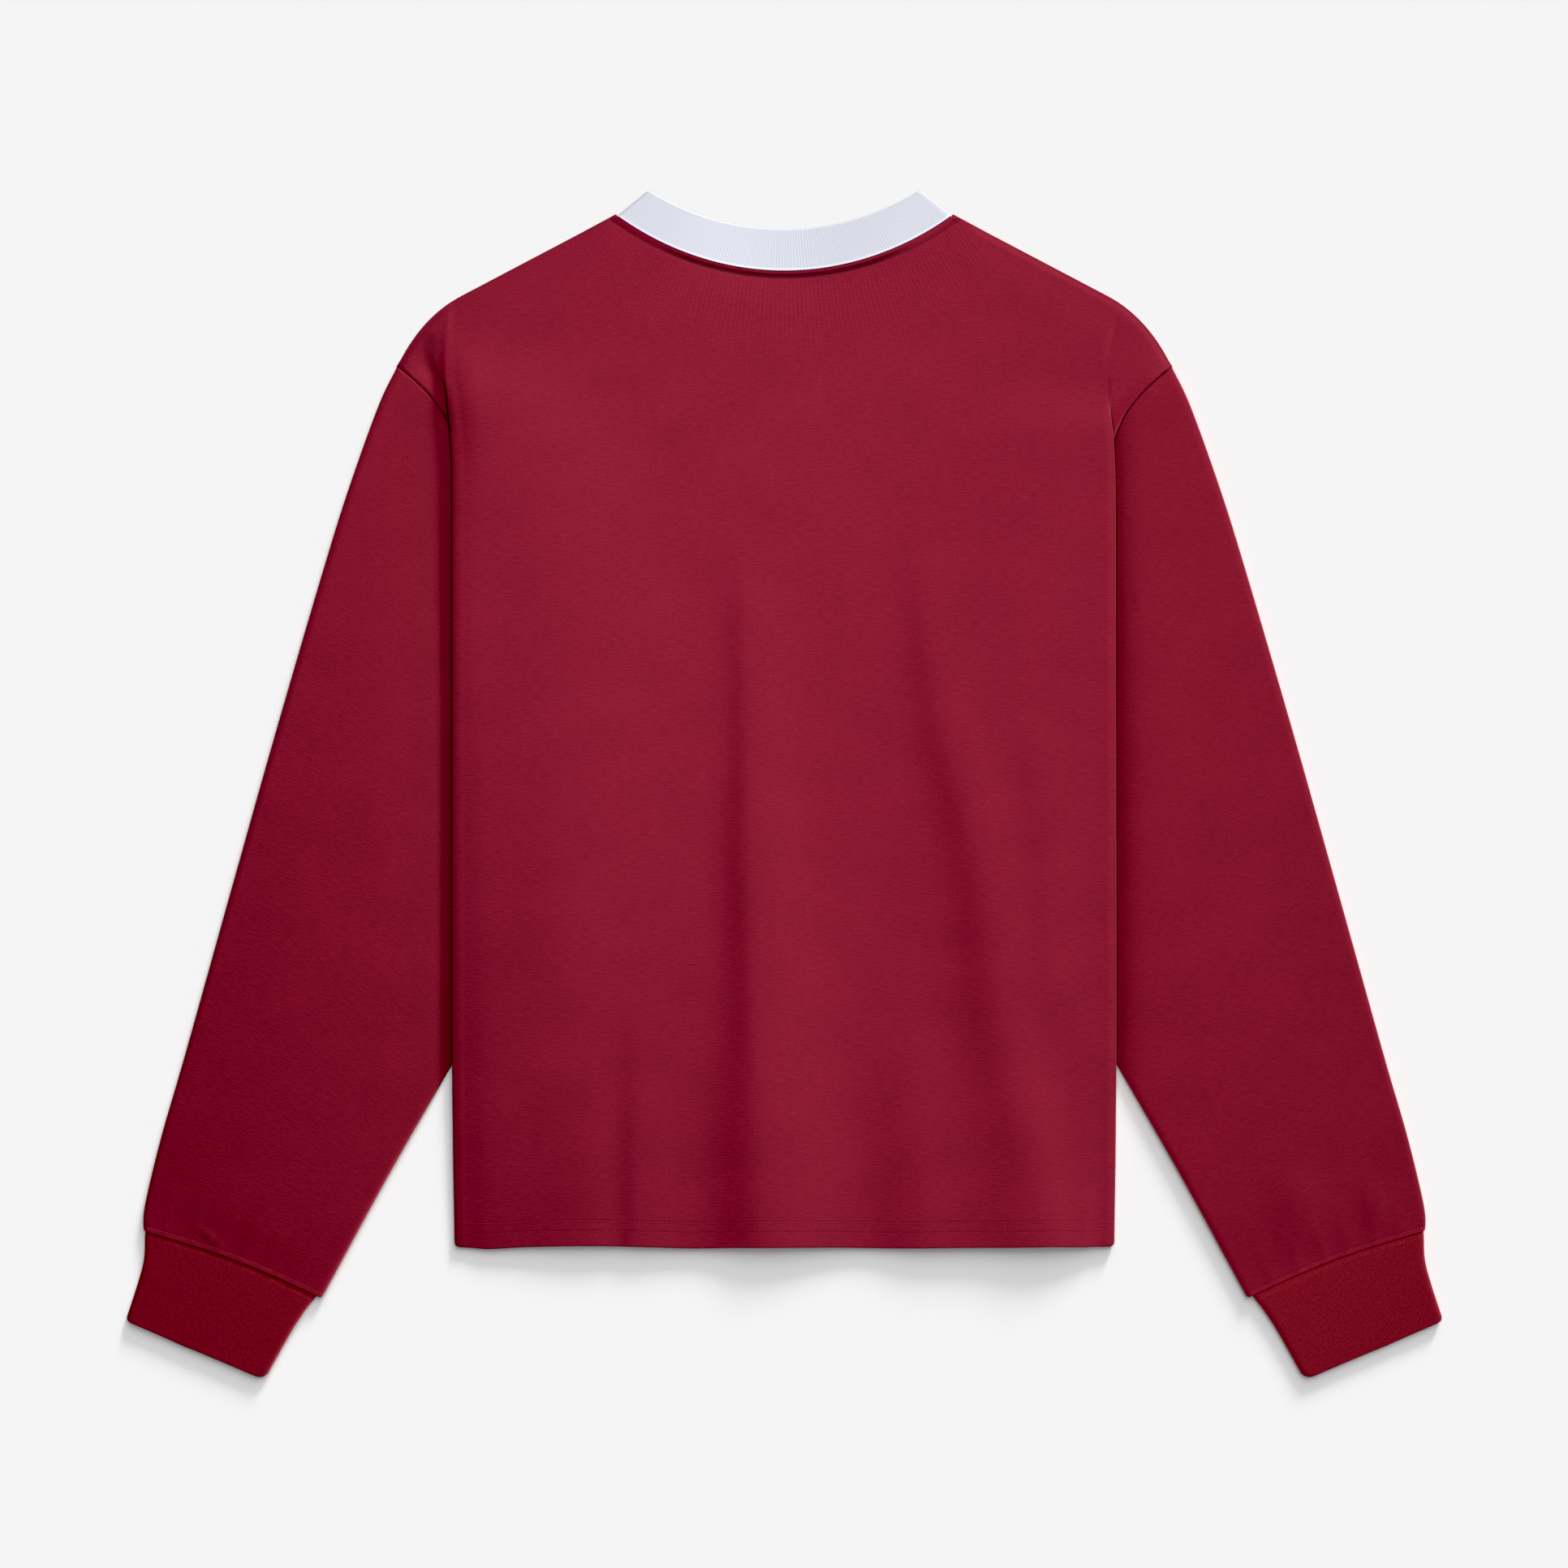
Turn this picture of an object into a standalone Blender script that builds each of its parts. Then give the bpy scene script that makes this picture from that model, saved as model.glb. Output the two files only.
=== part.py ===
"""Long-sleeve t-shirt with a contrast neck rib, laid flat on its front.

The garment lies in the XY plane with its back upwards, its neck towards +Y and its underside on z = 0.
The sides of the body are folded under, and the folds lie over the sleeves, which come out below them.
Each of the seven sewn pieces is a sheet: its middle surface is a grid worked out from the sizes below,
and a wall as thick as its cloth is put on it. Lengths are in metres.

A place on the garment is given by its distance from the centre line, which is positive on both sides,
and by y. LEFT and RIGHT are the sides as seen from above.
"""

from dataclasses import dataclass

import bpy
import numpy as np

MM = 0.001

# Cloth
JERSEY = 1.1 * MM
RIB = 1.8 * MM
SEAM_GAP = 0.5 * MM

# Neck
NECK_POINT = (103.8 * MM, 350.3 * MM)
COLLAR_TIP = (84.7 * MM, 365.8 * MM)
BACK_NECK_Y = 315.9 * MM
BACK_COLLAR_Y = 341.3 * MM
FRONT_NECK_Y = 258.0 * MM
FRONT_COLLAR_Y = 283.4 * MM
NECK_QUARTIC = 0.1
FRONT_NECK_POWER = 2.6

# Shoulder, armhole and body
SHOULDER_END = (198.8 * MM, 300.3 * MM)
SHOULDER_PULL = (223.7 * MM, 287.2 * MM)
SLEEVE_HEAD = (238.3 * MM, 256.8 * MM)
UNDERARM = (152.0 * MM, 83.0 * MM)
UNDERARM_REACH = 40.0 * MM
ARMHOLE_SEWN_IN = 0.5 * MM
SIDE_SEAM_X = 134.0 * MM
SIDE_SEAM_START_Y = 55.0 * MM
BACK_HEM_Y = -285.3 * MM
FRONT_HEM_Y = -283.5 * MM
ARMHOLE = np.array([SLEEVE_HEAD, (0.2235, 0.2440), (0.2118, 0.2303), (0.2055, 0.2175),
                    (0.1960, 0.1900), (0.1800, 0.1500), (0.1630, 0.1100), UNDERARM])

# Sleeve edges, from the armhole to the cuff seam
SLEEVE_OUTER = np.array([SLEEVE_HEAD, (0.2498, 0.2328), (0.2678, 0.1828), (0.2835, 0.1328), (0.3128, 0.0328),
                         (0.3410, -0.0672), (0.3690, -0.1672), (0.3835, -0.2172), (0.3935, -0.2590),
                         (0.3946, -0.2752)])
SLEEVE_INNER = np.array([UNDERARM, (0.1500, 0.0200), (0.1545, -0.0600), (0.1720, -0.1160), (0.2048, -0.1733),
                         (0.2438, -0.2413), (0.2848, -0.3166)])
CUFF_SEAM_BOW = 3.2 * MM

# Cuff edges, from its seam to its opening
CUFF_OUTER = np.array([(0.3936, -0.2757), (0.3943, -0.2925), (0.3980, -0.3073), (0.4048, -0.3312)])
CUFF_INNER = np.array([(0.2882, -0.3157), (0.2955, -0.3250), (0.3045, -0.3390), (0.3195, -0.3655)])

# Heights of the middle surfaces, where layers lie on each other
FLOOR_LAYER = JERSEY / 2
SECOND_LAYER = FLOOR_LAYER + 1.5 * MM
OPEN_LOFT = 1.1 * MM
SLEEVE_BULGE = 1.5 * MM
TUCK_LIFT = 3.0 * MM
BODY_LAYER = FLOOR_LAYER + 2.4 * MM
SHOULDER_LAYER = SECOND_LAYER + 0.1 * MM
NECK_LOW = 1.0 * MM
NECK_HIGH = 2.8 * MM
BACK_RIB_LOW = 0.3 * MM
CUFF_LOFT = 2.4 * MM
COLLAR_ROLL = 1.1 * MM

# Widths over which a height or a fold comes in
TUCK_RAMP = 16 * MM
TUCK_MARGIN = 6 * MM
BODY_RAMP = 36 * MM
EDGE_RAMP = 28 * MM
OPEN_RAMP = 30 * MM
FOLD_MARGIN = 6 * MM
OPEN_START = 4 * MM
RIDGE_RAMP = 20 * MM
NECK_RISE = (35 * MM, 60 * MM)
SHOULDER_RAMP = 25 * MM
TUCK_TOP_ROOM = 8 * MM
TUCK_FOOT_ROOM = 3 * MM
TURN_ROOM = 0.6 * MM


@dataclass(frozen=True)
class Side:
    """One side of the garment: where its fold starts, and the line that the fold's edge follows."""

    name: str
    sign: int
    fold_starts_y: float
    fold_full_y: float
    fold_edge: tuple
    fold_inside: tuple


LEFT = Side("left", -1, 0.282, 0.228,
            ((0.2183, 0.2752), (0.2093, 0.2430), (0.2050, 0.2030), (0.2046, 0.1500), (0.2046, -0.1700),
             (0.2033, -0.2853)),
            ((0.2183, 0.2752), (0.2030, 0.2430), (0.1850, 0.2150), (0.1450, 0.0830)))
RIGHT = Side("right", 1, 0.250, 0.214,
             ((0.2012, 0.2752), (0.2010, 0.2430), (0.2032, 0.2030), (0.2040, 0.1500), (0.2043, -0.1700),
              (0.2033, -0.2853)),
             ((0.2012, 0.2752), (0.1995, 0.2430), (0.1850, 0.2150), (0.1450, 0.0830)))


@dataclass(frozen=True)
class Ridge:
    """A long soft fold of the back panel: the crest's points, its half width and its height."""

    crest: tuple
    half_width: float
    height: float
    full_after: float


RIDGES = (
    Ridge(((-0.004, 0.110), (-0.009, -0.020), (-0.010, -0.300)), 22 * MM, 2.3 * MM, 0.16),
    Ridge(((0.090, 0.160), (0.117, -0.067), (0.131, -0.167), (0.159, -0.257), (0.168, -0.300)),
          19 * MM, 2.0 * MM, 0.14),
    Ridge(((-0.080, -0.150), (-0.079, -0.300)), 13 * MM, 1.4 * MM, 0.08),
)

# Rows of the body panels below the shoulders, closer together where the folds start
ROWS = np.array([250, 240, 228, 214, 196, 172, 146, 118, 95, 83, 70, 55, 15, -30, -75, -110, -135, -155, -175,
                 -195, -215, -250]) * MM
FRONT_ROWS = np.array([228, 214, 196, 172, 146, 118, 95, 83, 70, 55, -30, -110, -195]) * MM

# Columns of a half panel, as shares of its width: evenly under the neck, then out to the fold
NECK_COLUMNS = 7
TOP_START = 205 * MM
COLUMNS = np.concatenate([np.linspace(0.0, NECK_POINT[0] / TOP_START, NECK_COLUMNS + 1)[:-1],
                          np.linspace(NECK_POINT[0] / TOP_START, 1.0, 5)])


def smooth(t):
    """0 below 0, 1 above 1, and a smooth step between."""
    t = np.clip(t, 0.0, 1.0)
    return t * t * (3.0 - 2.0 * t)


def curve(points, steps=16):
    """A dense line of points on the Catmull-Rom curve through the given points."""
    points = np.asarray(points, float)
    padded = np.vstack([2 * points[0] - points[1], points, 2 * points[-1] - points[-2]])
    t = np.linspace(0.0, 1.0, steps, endpoint=False)[:, None]
    spans = []
    for a, b, c, d in zip(padded, padded[1:], padded[2:], padded[3:]):
        spans.append(0.5 * (2 * b + (c - a) * t + (2 * a - 5 * b + 4 * c - d) * t**2
                            + (3 * b - a - 3 * c + d) * t**3))
    return np.vstack(spans + [points[-1:]])


def along(line, fractions):
    """Points at these fractions of a line's length."""
    length = np.concatenate([[0.0], np.cumsum(np.linalg.norm(np.diff(line, axis=0), axis=1))])
    at = np.asarray(fractions) * length[-1]
    return np.column_stack([np.interp(at, length, line[:, axis]) for axis in range(2)])


def across_at(line, y):
    """The distance from the centre line at which a line that runs downwards passes y."""
    return np.interp(-np.asarray(y), -line[:, 1], line[:, 0])


def neckline(across, end, lowest, power=None):
    """y of a neckline: lowest on the centre line, and at its end point end[0] from it."""
    ratio = np.minimum(np.abs(across) / end[0], 1.0)
    if power is None:
        shape = (1 - NECK_QUARTIC) * ratio**2 + NECK_QUARTIC * ratio**4
    else:
        shape = ratio**power
    return lowest + (end[1] - lowest) * shape


def shoulder_curve():
    """The silhouette from the neck point to the sleeve's head: a straight seam, then a bent end."""
    start, pull, end = (np.array(p) for p in (SHOULDER_END, SHOULDER_PULL, SLEEVE_HEAD))
    t = np.linspace(0.0, 1.0, 24)[:, None]
    bend = (1 - t) ** 2 * start + 2 * t * (1 - t) * pull + t**2 * end
    return np.vstack([NECK_POINT, bend])


SHOULDER = shoulder_curve()
ARMHOLE_LINE = curve(ARMHOLE)
OUTER_LINE = curve(SLEEVE_OUTER)
INNER_LINE = curve(SLEEVE_INNER)


def top_edge(across, lowest, power=None):
    """y of a body panel's upper edge: the neckline, then the shoulder."""
    neck = neckline(across, NECK_POINT, lowest, power)
    return np.where(across < NECK_POINT[0], neck, np.interp(across, SHOULDER[:, 0], SHOULDER[:, 1]))


def end_across(y):
    """The panel's own side edge: the armhole down to the underarm, then the side seam."""
    run_in = smooth((UNDERARM[1] - y) / (UNDERARM[1] - SIDE_SEAM_START_Y))
    below = UNDERARM[0] + (SIDE_SEAM_X - UNDERARM[0]) * run_in
    return np.where(y > UNDERARM[1], across_at(ARMHOLE_LINE, y), below)


def fold_across(side, y):
    """The outermost place of the fold's middle surface."""
    return across_at(np.array(side.fold_edge), y) - JERSEY / 2


def inside_across(side, y):
    """The innermost place of what is folded under: the fold's hidden bend, then the sleeve's inner edge."""
    hidden = across_at(np.array(side.fold_inside), y)
    return np.where(y > UNDERARM[1], hidden, across_at(INNER_LINE, y))


def fold_share(side, y):
    """0 above the fold's start, 1 where it is a full fold."""
    return smooth((side.fold_starts_y - y) / (side.fold_starts_y - side.fold_full_y))


def tuck_height(across, side, y):
    """Middle surface of the cloth that is folded under: on the floor, and lifted over the sleeve."""
    reach = across - inside_across(side, y) + TUCK_RAMP + TUCK_MARGIN
    return FLOOR_LAYER + TUCK_LIFT * smooth(reach / TUCK_RAMP)


def second_height(across, side, y):
    """Middle surface of the layer that the fold lies on: pressed below it, and looser outside it."""
    return SECOND_LAYER + OPEN_LOFT * smooth((across - fold_across(side, y) - OPEN_START) / OPEN_RAMP)


def ridges_height(x, y):
    """The sum of the soft folds: a bell across each crest, which grows downwards from its start."""
    total = np.zeros(np.broadcast(x, y).shape)
    for ridge in RIDGES:
        crest = curve(ridge.crest)
        offset = (x - across_at(crest, y)) / ridge.half_width
        grown = smooth((crest[0, 1] - y) / ridge.full_after)
        total = total + ridge.height * grown * np.exp(-offset**2)
    return total


def neck_rise(across):
    """0 in the middle of the back neck, 1 near the shoulders, where the back rib lies on the front rib."""
    return smooth((np.abs(across) - NECK_RISE[0]) / (NECK_RISE[1] - NECK_RISE[0]))


def neck_height(across):
    """Middle surface of the back panel along its neckline and shoulder seam."""
    over_rib = NECK_LOW + (NECK_HIGH - NECK_LOW) * neck_rise(across)
    return over_rib + (SHOULDER_LAYER - NECK_HIGH) * smooth((across - NECK_POINT[0]) / SHOULDER_RAMP)


def body_height(across, side, y):
    """Middle surface of the back panel's top layer."""
    reach = (across - inside_across(side, y) + BODY_RAMP) / BODY_RAMP
    inner = BODY_LAYER + TUCK_LIFT * fold_share(side, y) * smooth(reach)
    fade = smooth((fold_across(side, y) - across) / RIDGE_RAMP)
    inner = inner + ridges_height(side.sign * across, y) * fade
    edge = neck_height(across)
    return edge + (inner - edge) * smooth((top_edge(across, BACK_NECK_Y) - y) / EDGE_RAMP)


def bend(across, upper, lower, outwards):
    """Points of a half turn between two heights: its outermost place is across, if outwards is 1."""
    radius = (upper - lower) / 2
    angles = np.radians([0.0, 45.0, 90.0, 135.0, 180.0])
    xs = across + outwards * radius * (np.sin(angles) - 1)
    zs = lower + radius + radius * np.cos(angles)
    return list(zip(xs, zs))


def side_section(side, y):
    """Section through the back panel outside its top layer, as rows of distance and height.

    Where the fold is full, the cloth turns under, runs in, and turns out again to the armhole. Below the
    underarm it turns under and runs in to the side seam. Above the fold it lies flat.
    """
    start = fold_across(side, y) - FOLD_MARGIN
    if y > UNDERARM[1]:
        near_underarm = float(smooth((UNDERARM[1] + UNDERARM_REACH - y) / (UNDERARM_REACH / 2)))
        end = float(end_across(y)) - SEAM_GAP * (1 + 3 * near_underarm)
    else:
        end = float(end_across(y)) + SEAM_GAP / 2
    edge = float(fold_across(side, y))
    inside = float(inside_across(side, y))
    top = float(body_height(start, side, y))
    first_bend = bend(edge, top, float(tuck_height(edge, side, y)), 1)
    if y > UNDERARM[1]:
        under = float(tuck_height(edge, side, y))
        second_bend = bend(inside, under, SECOND_LAYER, -1)[::2]
        middle = (edge + inside) / 2
        outward = [((inside + end) / 2 + TURN_ROOM, SECOND_LAYER), (end, float(second_height(end, side, y)))]
        folded = first_bend + [(middle, under)] + second_bend + outward
    else:
        ramp_top = np.clip(inside - TUCK_MARGIN, end + 2 * TUCK_FOOT_ROOM, edge - TUCK_TOP_ROOM)
        lowest_foot = inside - TUCK_MARGIN - TUCK_RAMP
        ramp_foot = np.clip(lowest_foot, end + TUCK_FOOT_ROOM, ramp_top - TUCK_FOOT_ROOM)
        run = np.append(np.linspace(ramp_top, ramp_foot, 5), end)
        folded = first_bend + list(zip(run, tuck_height(run, side, y)))
    count = len(folded)
    across = start + (end - start) * np.arange(1, count + 1) / count
    share = (across - start) / (end - start)
    flat = np.column_stack([across, top + (second_height(end, side, y) - top) * share])
    weight = float(fold_share(side, y))
    return flat + (np.array(folded) - flat) * weight


def back_rows():
    """Middle surface of the back panel: a grid of rows from the neck and shoulders down to the hem."""
    outer_columns = len(side_section(LEFT, ROWS[0]))
    halves = []
    for side in (LEFT, RIGHT):
        head = SLEEVE_HEAD[0] - ARMHOLE_SEWN_IN
        across = np.concatenate([COLUMNS * TOP_START, np.linspace(TOP_START, head, outer_columns + 1)[1:]])
        y = top_edge(across, BACK_NECK_Y)
        rows = [np.column_stack([across, y, neck_height(across)])]
        for y in np.append(ROWS, BACK_HEM_Y):
            across = COLUMNS * (fold_across(side, y) - FOLD_MARGIN)
            top = np.column_stack([across, body_height(across, side, y)])
            section = np.vstack([top, side_section(side, y)])
            rows.append(np.column_stack([section[:, 0], np.full(len(section), y), section[:, 1]]))
        for share in (0.7, 0.35):
            between = rows[0] + (rows[1] - rows[0]) * share
            main = slice(0, len(COLUMNS))
            between[main, 2] = body_height(between[main, 0], side, between[main, 1])
            rows.insert(1, between)
        halves.append(np.array(rows) * (side.sign, 1, 1))
    return np.concatenate([halves[0][:, :0:-1], halves[1]], axis=1)


def front_rows():
    """Middle surface of the front panel: flat on the floor, with its own deeper neckline."""
    head = SLEEVE_HEAD[0] - ARMHOLE_SEWN_IN
    across = np.append(COLUMNS * TOP_START, [(TOP_START + head) / 2, head])
    columns = across / head
    y = top_edge(across, FRONT_NECK_Y, FRONT_NECK_POWER)
    height = np.full(len(across), FLOOR_LAYER)
    rows = [np.column_stack([across, y, height])]
    for y in np.append(FRONT_ROWS, FRONT_HEM_Y):
        across = columns * (end_across(y) - SEAM_GAP)
        rows.append(np.column_stack([across, np.full(len(across), y), height]))
    rows[1:1] = [rows[0] + (rows[1] - rows[0]) * share for share in (0.33, 0.67)]
    half = np.array(rows)
    return np.concatenate([half[:, :0:-1] * (-1, 1, 1), half], axis=1)


def sleeve_plan(side, down, over):
    """A place on the flat sleeve, in plan.

    down runs from the armhole to the cuff seam and over from the outer edge to the inner edge. The four
    edges are blended: the two sleeve edges, and at each end the seam's departure from a straight line.
    """
    outer = along(OUTER_LINE, down)
    inner = along(INNER_LINE, down)
    straight = outer + (inner - outer) * over[:, None]
    chord = np.array(SLEEVE_HEAD) + (np.array(UNDERARM) - SLEEVE_HEAD) * over[:, None]
    armhole = along(ARMHOLE_LINE, over) - chord
    along_end = INNER_LINE[-1] - OUTER_LINE[-1]
    normal = np.array([along_end[1], -along_end[0]]) / np.linalg.norm(along_end)
    end_bow = CUFF_SEAM_BOW * np.sin(np.pi * over)[:, None] * normal
    fade = (1 - smooth(down / 0.7))[:, None]
    return straight + armhole * fade + end_bow * (down**4)[:, None]


def sleeve_grid(side):
    """Middle surface of a sleeve: a flat tube of rings from its armhole to its cuff seam."""
    turns = np.radians([0.0, 45.0])
    flat = np.linspace(0.0, 1.0, 9)[1:-1]
    rings = []
    stations = np.concatenate([[0.0028, 0.035], np.linspace(0.08, 0.95, 11), [0.9995]])
    for down in stations:
        outer, inner = sleeve_plan(side, np.array([down, down]), np.array([0.0, 1.0]))
        width = np.linalg.norm(inner - outer)
        loose = float(smooth((inner[0] - fold_across(side, inner[1]) + OPEN_START) / RIDGE_RAMP))
        outer_roll = (SECOND_LAYER - FLOOR_LAYER + OPEN_LOFT) / 2
        inner_roll = (SECOND_LAYER - FLOOR_LAYER + OPEN_LOFT * loose) / 2
        start = (JERSEY / 2 + outer_roll * (1 - np.sin(turns))) / width
        end = 1 - (JERSEY / 2 + inner_roll * (1 - np.sin(turns[::-1]))) / width
        edge_start, edge_end = start[-1], end[0]
        over = np.concatenate([start[:0:-1], edge_start + (edge_end - edge_start) * flat, end[:-1]])
        over = np.sort(over)
        plan = sleeve_plan(side, np.full(len(over), down), over)
        puff = SLEEVE_BULGE * np.sin(np.pi * over) * smooth((down - 0.05) / 0.2)
        opening = smooth((plan[:, 0] - fold_across(side, plan[:, 1]) - OPEN_START) / OPEN_RAMP)
        upper = second_height(plan[:, 0], side, plan[:, 1]) + puff * opening * smooth((1 - down) / 0.06)
        tips_over = np.array([JERSEY / 2 / width, 1 - JERSEY / 2 / width])
        tips = sleeve_plan(side, np.array([down, down]), tips_over)
        lift = np.ones(len(over))
        lift[0] = lift[-1] = (1 + np.cos(turns[1])) / 2
        top = FLOOR_LAYER + (upper - FLOOR_LAYER) * lift
        low = FLOOR_LAYER + (upper - FLOOR_LAYER) * (1 - lift)
        low[1:-1] = FLOOR_LAYER
        tip_heights = FLOOR_LAYER + np.array([outer_roll, inner_roll])
        ring = np.vstack([np.append(tips[0], tip_heights[0]), np.column_stack([plan, top]),
                          np.append(tips[1], tip_heights[1]), np.column_stack([plan, low])[::-1]])
        rings.append(ring * (side.sign, 1, 1))
    return np.array(rings)


def cuff_grid(side):
    """Middle surface of a cuff: a flat tube of rib from its seam to its straight opening."""
    outer_line, inner_line = curve(CUFF_OUTER), curve(CUFF_INNER)
    radius = CUFF_LOFT / 2
    angles = np.radians([-90.0, -45.0, 0.0, 45.0, 90.0])
    rings = []
    for down in (0.0, 0.3, 0.65, 1.0):
        outer, inner = along(outer_line, [down])[0], along(inner_line, [down])[0]
        direction = (inner - outer) / np.linalg.norm(inner - outer)
        width = np.linalg.norm(inner - outer)
        normal = np.array([direction[1], -direction[0]])
        reach = RIB / 2 + radius
        turn = np.column_stack([reach - radius * np.cos(angles), radius + radius * np.sin(angles)])
        flat = np.linspace(reach, width - reach, 7)[1:-1]
        upper = np.column_stack([flat, np.full(len(flat), 2 * radius)])
        far = np.column_stack([width - turn[::-1, 0], turn[::-1, 1]])
        lower = np.column_stack([flat[::-1], np.zeros(len(flat))])
        loop = np.vstack([turn, upper, far, lower])
        bow = CUFF_SEAM_BOW * (1 - down) * np.sin(np.pi * np.clip(loop[:, 0] / width, 0, 1))
        plan = outer + direction * loop[:, :1] + normal * bow[:, None]
        rings.append(np.column_stack([plan, RIB / 2 + loop[:, 1]]) * (side.sign, 1, 1))
    return np.array(rings)


def neck_rib_grid():
    """Middle surface of the neck rib: a flat ring that turns over at both shoulder points.

    Its rows run from the seam to the top edge. Its back half lies on its front half at the shoulders, and
    comes down between them.
    """
    angles = np.radians([30.0, 60.0, 90.0, 120.0, 150.0])
    share = np.linspace(-1.0, 1.0, 2 * NECK_COLUMNS + 1)
    rows = []
    for band in (0.0, 0.5, 1.0):
        gap = SEAM_GAP * (1 - band)
        half = NECK_POINT[0] + (COLLAR_TIP[0] - NECK_POINT[0]) * band - RIB / 2
        end = (half, NECK_POINT[1] + 2.5 * gap + (COLLAR_TIP[1] - NECK_POINT[1] - 2.5 * gap) * band)
        back_low = BACK_NECK_Y + gap + (BACK_COLLAR_Y - BACK_NECK_Y - gap) * band
        front_low = FRONT_NECK_Y + gap + (FRONT_COLLAR_Y - FRONT_NECK_Y - gap) * band
        back_x = share * (half - COLLAR_ROLL)
        back_z = RIB / 2 + BACK_RIB_LOW + (2 * COLLAR_ROLL - BACK_RIB_LOW) * neck_rise(back_x)
        back = np.column_stack([back_x, neckline(back_x, end, back_low), back_z])
        front = np.column_stack([back_x[::-1], neckline(back_x[::-1], end, front_low, FRONT_NECK_POWER),
                                 np.full(len(share), RIB / 2)])
        turn_x = half - COLLAR_ROLL + COLLAR_ROLL * np.sin(angles)
        turn_z = RIB / 2 + COLLAR_ROLL * (1 + np.cos(angles))
        weight = np.linspace(0.0, 1.0, len(angles) + 2)[1:-1] ** 2
        turn_y = back[-1, 1] + (front[0, 1] - back[-1, 1]) * weight
        right = np.column_stack([turn_x, turn_y, turn_z])
        left = right[::-1] * (-1, 1, 1)
        rows.append(np.vstack([back, right, front, left]))
    return np.array(rows)


def material(name, colour, roughness):
    """A plain cloth material."""
    made = bpy.data.materials.new(name)
    made.use_nodes = True
    shader = made.node_tree.nodes["Principled BSDF"]
    shader.inputs["Base Color"].default_value = (*colour, 1.0)
    shader.inputs["Roughness"].default_value = roughness
    shader.inputs["Metallic"].default_value = 0.0
    return made


def cloth_piece(name, grid, thickness, finish, ring=False):
    """An object from a grid of points, with a wall of this thickness centred on it."""
    rows, columns = grid.shape[:2]
    index = np.arange(rows * columns).reshape(rows, columns)
    if ring:
        index = np.column_stack([index, index[:, 0]])
    corners = (index[:-1, :-1], index[:-1, 1:], index[1:, 1:], index[1:, :-1])
    faces = np.stack(corners, axis=-1).reshape(-1, 4)
    mesh = bpy.data.meshes.new(name)
    mesh.from_pydata(grid.reshape(-1, 3).tolist(), [], faces.tolist())
    mesh.shade_smooth()
    mesh.materials.append(finish)
    piece = bpy.data.objects.new(name, mesh)
    bpy.context.scene.collection.objects.link(piece)
    wall = piece.modifiers.new("Cloth wall", "SOLIDIFY")
    wall.thickness = thickness
    wall.offset = 0.0
    return piece


def main():
    for old in list(bpy.data.objects):
        bpy.data.objects.remove(old, do_unlink=True)
    red_jersey = material("red jersey", (0.26, 0.010, 0.028), 0.85)
    red_rib = material("red rib", (0.24, 0.009, 0.025), 0.88)
    white_rib = material("white rib", (0.74, 0.76, 0.84), 0.85)
    cloth_piece("back_panel", back_rows(), JERSEY, red_jersey)
    cloth_piece("front_panel", front_rows(), JERSEY, red_jersey)
    for side in (LEFT, RIGHT):
        cloth_piece(f"sleeve_{side.name}", sleeve_grid(side), JERSEY, red_jersey, ring=True)
        cloth_piece(f"cuff_{side.name}", cuff_grid(side), RIB, red_rib, ring=True)
    cloth_piece("neck_rib", neck_rib_grid(), RIB, white_rib, ring=True)


main()
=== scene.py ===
"""Looks of a long-sleeve t-shirt with a contrast neck rib, laid flat with its back up.

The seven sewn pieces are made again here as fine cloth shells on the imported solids' own form, and dressed in
jersey and rib. Every length is in metres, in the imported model's frame: +X to the right as seen from above,
+Y from hem to neck, +Z up from the surface that the shirt lies on. A place on the shirt is often given by its
distance from the centre line, which is positive on both sides, and by y.
"""

import logging
import math
from dataclasses import dataclass, field
from enum import Enum

import bpy
import numpy as np
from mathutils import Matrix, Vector


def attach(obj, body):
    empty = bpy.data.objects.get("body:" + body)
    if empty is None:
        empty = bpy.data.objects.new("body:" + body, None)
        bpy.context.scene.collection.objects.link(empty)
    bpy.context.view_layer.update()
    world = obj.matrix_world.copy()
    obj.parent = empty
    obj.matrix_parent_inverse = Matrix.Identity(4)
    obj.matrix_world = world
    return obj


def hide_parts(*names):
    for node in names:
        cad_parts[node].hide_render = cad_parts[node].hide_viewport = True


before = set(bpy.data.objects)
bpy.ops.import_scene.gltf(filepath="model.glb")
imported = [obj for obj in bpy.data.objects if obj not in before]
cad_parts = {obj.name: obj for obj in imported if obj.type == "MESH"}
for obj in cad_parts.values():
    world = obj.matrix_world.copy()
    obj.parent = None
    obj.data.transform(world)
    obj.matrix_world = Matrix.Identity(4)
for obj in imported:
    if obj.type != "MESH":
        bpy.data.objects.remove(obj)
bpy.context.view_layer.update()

MM = 0.001
LOG = logging.getLogger("shirt")
Array = np.ndarray


class Hand(Enum):
    """A side of the shirt as seen from above, with the sign of its x."""

    LEFT = -1
    RIGHT = 1


class Slot(Enum):
    """The record's material slots."""

    RED_JERSEY = "red_jersey"
    RED_RIB = "red_rib"
    WHITE_RIB = "white_rib"


# Plane curves and steps


def smooth(t: Array | float) -> Array:
    """A smooth step: 0 below 0, 1 above 1, and 3t^2 - 2t^3 between."""
    t = np.clip(t, 0.0, 1.0)
    return t * t * (3.0 - 2.0 * t)


def bell(t: Array | float) -> Array:
    """A bell of height 1 and half width 1: e to the power of -t squared."""
    return np.exp(-np.square(t))


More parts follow.
